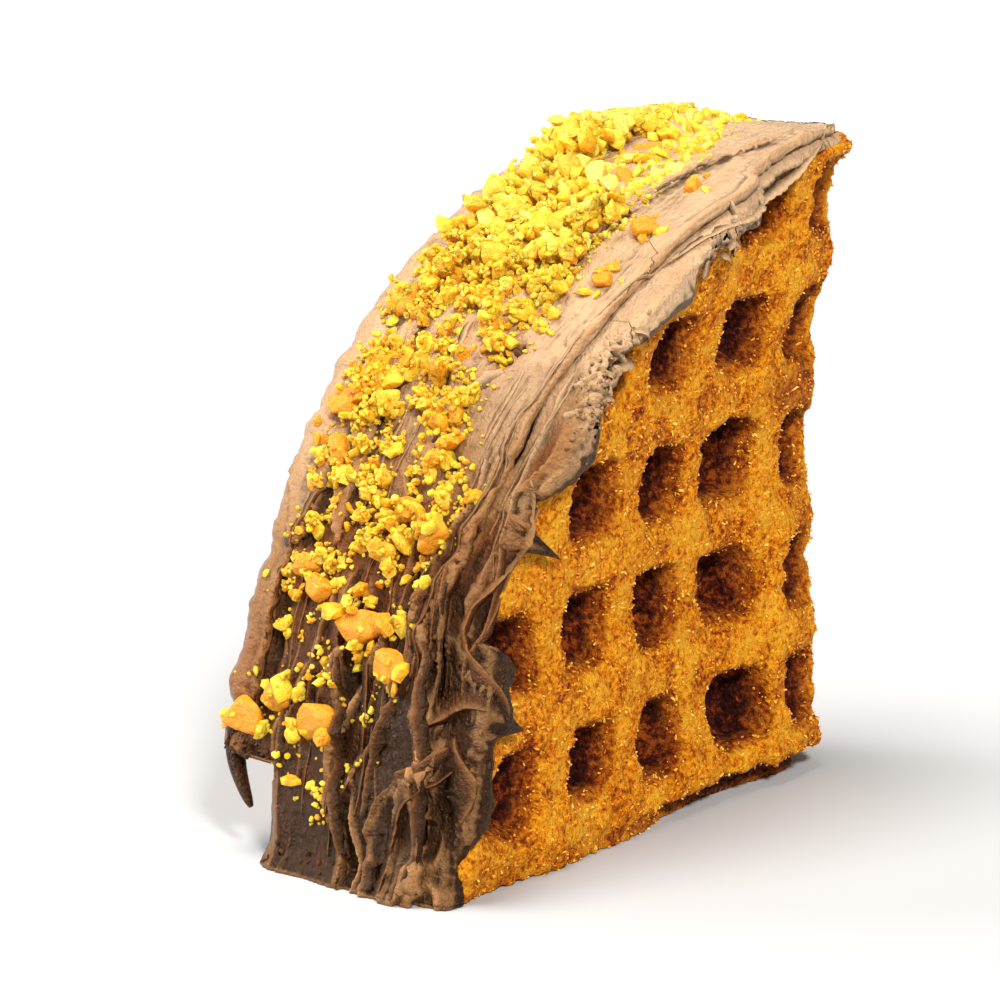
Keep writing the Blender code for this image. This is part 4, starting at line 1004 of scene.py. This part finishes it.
# The heap at the top: first and last angle, and the share of the pieces that are thrown there
TOP_PILE = (57.0, 87.0, 0.22)
NUT_CHIPS = 1750
NUT_CRUMBS = 3400
# Pieces strewn round each large one, and the millimetres taken for a degree there
CLUSTER, CLUSTER_DEGREE = 4, 1.58
# Grid that the pile's height is kept on, and the height past which no more pieces stay, in millimetres
CELL = 0.5
PILE_LIMIT = 3.9


def nut_template(seed, cuts, flat, rounding, steps):
    """A chopped piece one unit long: a ball pressed flat, with faces cut off, and with edges rounded when a
    rounding is given.
    """
    draw = random.Random(seed)
    bpy.ops.mesh.primitive_ico_sphere_add(subdivisions=steps, radius=0.5)
    nut = bpy.context.object
    for vert in nut.data.vertices:
        vert.co *= draw.uniform(0.86, 1.14)
        vert.co.y *= flat[0]
        vert.co.z *= flat[1]
    bpy.ops.object.mode_set(mode="EDIT")
    for _ in range(cuts):
        side = Vector((draw.gauss(0, 1), draw.gauss(0, 1), draw.gauss(0, 1))).normalized()
        reach = draw.uniform(0.2, 0.36) * (flat[1] if abs(side.z) > 0.7 else 1.0)
        bpy.ops.mesh.select_all(action="SELECT")
        bpy.ops.mesh.bisect(plane_co=side * reach, plane_no=side, use_fill=True, clear_outer=True)
    bpy.ops.object.mode_set(mode="OBJECT")
    if rounding:
        finish_with(nut, "REMESH", mode="VOXEL", voxel_size=rounding)
        finish_with(nut, "SMOOTH", factor=0.5, iterations=4)
    verts, tris = take_template(nut)
    middle = (verts.max(axis=0) + verts.min(axis=0)) / 2.0
    return (verts - middle) / np.ptp(verts, axis=0).max(), tris


large_templates = [nut_template(seed, 7, (0.74, 0.58), 0.05, 2) for seed in range(40, 46)]
chip_templates = [nut_template(seed, 5, (draw.uniform(0.6, 0.9), draw.uniform(0.34, 0.55)), 0.0, 1)
                  for seed in range(60, 74)]
crumb_templates = [nut_template(seed, 2, (0.8, 0.7), 0.0, 1) for seed in range(80, 84)]
pile = {}


def land(degrees, across):
    """Where a piece that is dropped on the coat comes to lie, with the surface's direction there."""
    angle = math.radians(degrees)
    over = coat_place(degrees, across, 20.0)
    inward = Vector((math.cos(angle), 0.0, -math.sin(angle)))
    hit, normal, _, _ = coat_surface.ray_cast(over, inward, 0.03)
    if hit is None:
        return None, None
    return hit, (normal * 0.6 - inward * 0.4).normalized()


def piled(degrees, across, size, add):
    """Height of the pile under a piece in millimetres, which then grows by the piece's own height."""
    reach = int(size * 0.3 / CELL)
    row, column = round(degrees * PER_DEGREE / CELL), round(across / CELL)
    cells = [(row + i, column + k) for i in range(-reach, reach + 1) for k in range(-reach, reach + 1)]
    heights = [pile.get(cell, 0.0) for cell in cells]
    base = sum(heights) / len(heights)
    for cell in cells:
        pile[cell] = max(pile.get(cell, 0.0), base + add)
    return base


def lay_nut(draw, count, degrees, across, length, sink, shade, tilt):
    """One piece laid on the coat or the pile: its template, its matrix and its shade, or None."""
    hit, normal = land(degrees, across)
    if hit is None:
        return None
    base = piled(degrees, across, length, length * 0.42)
    if base > PILE_LIMIT:
        return None
    angles = draw.uniform(-tilt, tilt), draw.uniform(-tilt, tilt), draw.uniform(0.0, math.tau)
    lean = Euler(angles).to_matrix()
    turn = normal.to_track_quat("Z", "Y").to_matrix() @ lean @ Matrix.Diagonal((length * MM,) * 3)
    where = hit + normal * (base + length * sink) * MM
    where.z = min(where.z, cad_high[2] - length * 0.36 * MM)
    return draw.randrange(count), Matrix.Translation(where) @ turn.to_4x4(), shade


draw = random.Random(38)
placed = [lay_nut(draw, len(large_templates), degrees, across, length, 0.16, draw.uniform(0.5, 0.9), 0.35)
          for degrees, across, length in LARGE_NUTS]
nuts_large = join_copies("nuts_large", large_templates, [one for one in placed if one])
nuts_large.data.shade_smooth()


def scatter(draw, wanted, count, sizes, sink, spill, tilt):
    """Pieces spread over the nut band as densely as the cream shows there."""
    placed = []
    for degrees, across, length in LARGE_NUTS:
        for _ in range(CLUSTER):
            away, side = draw.uniform(0.55, 0.95) * length, draw.uniform(0.0, math.tau)
            one = lay_nut(draw, count, degrees + away * math.sin(side) / CLUSTER_DEGREE,
                          across + away * math.cos(side),
                          draw.uniform(sizes[0], 0.6 * sizes[1]), sink, draw.uniform(0.0, 0.6), tilt)
            if one:
                placed.append(one)
    for _ in range(wanted * 8):
        on_top = draw.random() < TOP_PILE[2]
        degrees = draw.uniform(*TOP_PILE[:2]) if on_top else draw.uniform(4.0, 88.0)
        density = across_curve(NUT_DENSITY, degrees)
        if draw.random() * DENSEST > density:
            continue
        front, rear = across_curve(NUT_BAND_FRONT, degrees), across_curve(NUT_BAND_REAR, degrees)
        lie = draw.random()
        across = float(front + (rear - front) * lie) + draw.gauss(0.0, spill)
        clump = noise.noise((degrees / 2.6, across / 3.2, 2.0)) + 0.6 * min(density, 1.0) ** 2
        if clump < 0.02:
            continue
        length = sizes[0] + (sizes[1] - sizes[0]) * draw.random() ** 1.8
        golden = draw.uniform(0.0, 0.5) - 0.2 * min(max((degrees - 45.0) / 15.0, 0.0), 1.0)
        one = lay_nut(draw, count, degrees, across, length, sink, golden, tilt)
        if one:
            placed.append(one)
        if len(placed) == wanted:
            break
    return placed


nuts_chopped = join_copies("nuts_chopped", chip_templates,
                           scatter(draw, NUT_CHIPS, len(chip_templates), (1.4, 4.0), 0.10, 0.5, 1.2))
make_active(nuts_chopped)
bpy.ops.object.shade_smooth_by_angle(angle=math.radians(48.0))
nut_crumbs = join_copies("nut_crumbs", crumb_templates,
                         scatter(draw, NUT_CRUMBS, len(crumb_templates), (0.4, 1.3), 0.2, 1.3, 1.4))

# Roasted chopped nut: waxy and slightly see-through, lemon yellow on fresh breaks and golden on the outside
chopped, tree, shader, place = new_finish("roasted chopped nut")
shade = add_node(tree, "ShaderNodeAttribute", attribute_name="piece_shade").outputs["Fac"]
clouds = add_node(tree, "ShaderNodeTexNoise",
                  {"Vector": place, "Scale": 1 / (1.1 * MM), "Detail": 4.0}).outputs["Fac"]
varied = add_node(tree, "ShaderNodeMath", {0: clouds, 1: 1.0, 2: shade}, operation="MULTIPLY_ADD").outputs[0]
nut_colour = add_node(tree, "ShaderNodeValToRGB", {"Fac": varied}, stops=(
    (0.3, "#FFE268"), (0.5, "#FDD236"), (0.75, "#F6B81E"), (1.0, "#E2940F"))).outputs["Color"]
specks = add_node(tree, "ShaderNodeTexNoise",
                  {"Vector": place, "Scale": 1 / (0.3 * MM), "Detail": 2.0}).outputs["Fac"]
speck_amount = add_node(tree, "ShaderNodeMapRange", {"Value": specks, "From Min": 0.34, "From Max": 0.27,
                                                    "To Max": 0.75}).outputs[0]
nut_speckled = add_node(tree, "ShaderNodeMix", {0: speck_amount, 6: nut_colour, 7: linear("#7A5A14")},
                        data_type="RGBA").outputs[2]
frayed = add_node(tree, "ShaderNodeMath", {0: clouds, 1: 2.2, 2: specks}, operation="MULTIPLY_ADD").outputs[0]
bump = add_node(tree, "ShaderNodeBump",
                {"Height": frayed, "Strength": 1.0, "Distance": 0.3 * MM}).outputs["Normal"]
tree.links.new(nut_speckled, shader.inputs["Base Color"])
tree.links.new(bump, shader.inputs["Normal"])
shader.inputs["Roughness"].default_value = 0.38
shader.inputs["IOR"].default_value = 1.47
shader.inputs["Subsurface Weight"].default_value = 0.6
shader.inputs["Subsurface Scale"].default_value = 1.6 * MM
shader.inputs["Subsurface Radius"].default_value = (1.0, 0.7, 0.25)
for piece in (nuts_large, nuts_chopped, nut_crumbs):
    piece.data.materials.append(chopped)
    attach(piece, "root")
    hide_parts("chocolate_cream")

# Floor: plain pale seamless paper, as under a product in a studio. It is stage only, and catches the shadow.
bpy.ops.object.select_all(action="DESELECT")
bpy.ops.mesh.primitive_plane_add(size=8.0, location=(0.0, 0.0, 0.0))
floor = bpy.context.object
floor.name = "studio_floor"
paper, _, shader, _ = new_finish("white seamless paper")
shader.inputs["Base Color"].default_value = linear("#BEBDBB")
shader.inputs["Roughness"].default_value = 0.9
floor.data.materials.append(paper)

# Lights: very large soft boxes far off, one above and a little behind, one at the front left and a weak one at
# the rear left: where each stands, how wide it looks in degrees and how strong it is. A pale surround fills in.
SOFT_BOXES = (("top_box", (-0.25, 0.10, 0.96), 34, 3.4), ("front_box", (-0.46, -0.66, 0.60), 9, 3.2),
              ("rear_box", (-0.45, 0.85, 0.26), 30, 2.2))
SURROUND = 0.22
bpy.context.scene.view_settings.view_transform = "Standard"
world = bpy.data.worlds.new("studio")
world.use_nodes = True
world.node_tree.nodes["Background"].inputs["Color"].default_value = linear("#FFFFFF")
world.node_tree.nodes["Background"].inputs["Strength"].default_value = SURROUND
bpy.context.scene.world = world
for name, where, width, strong in SOFT_BOXES:
    lamp = bpy.data.lights.new(name, "SUN")
    lamp.angle = math.radians(width)
    lamp.energy = strong
    box = bpy.data.objects.new(name, lamp)
    bpy.context.collection.objects.link(box)
    box.rotation_euler = Vector(where).to_track_quat("Z", "Y").to_euler()

# Camera: the photograph's own view, from the lower left of the front face, with the direction, distance and
# lens of a camera that was fitted to the corners of the pockets.
VIEW_AZIMUTH, VIEW_ELEVATION, VIEW_DISTANCE = math.radians(-49.02), math.radians(10.88), 0.520
VIEW_CENTRE = Vector((-0.01176, -0.00009, 0.04528))
SENSOR_WIDTH, FOCAL_LENGTH = 36.0, 141.2
level = math.cos(VIEW_ELEVATION)
back = Vector((math.sin(VIEW_AZIMUTH) * level, -math.cos(VIEW_AZIMUTH) * level, math.sin(VIEW_ELEVATION)))
lens = bpy.data.cameras.new("view")
lens.sensor_width = SENSOR_WIDTH
lens.lens = FOCAL_LENGTH
camera = bpy.data.objects.new("view", lens)
bpy.context.collection.objects.link(camera)
camera.location = VIEW_CENTRE + back * VIEW_DISTANCE
camera.rotation_euler = back.to_track_quat("Z", "Y").to_euler()
bpy.context.scene.camera = camera
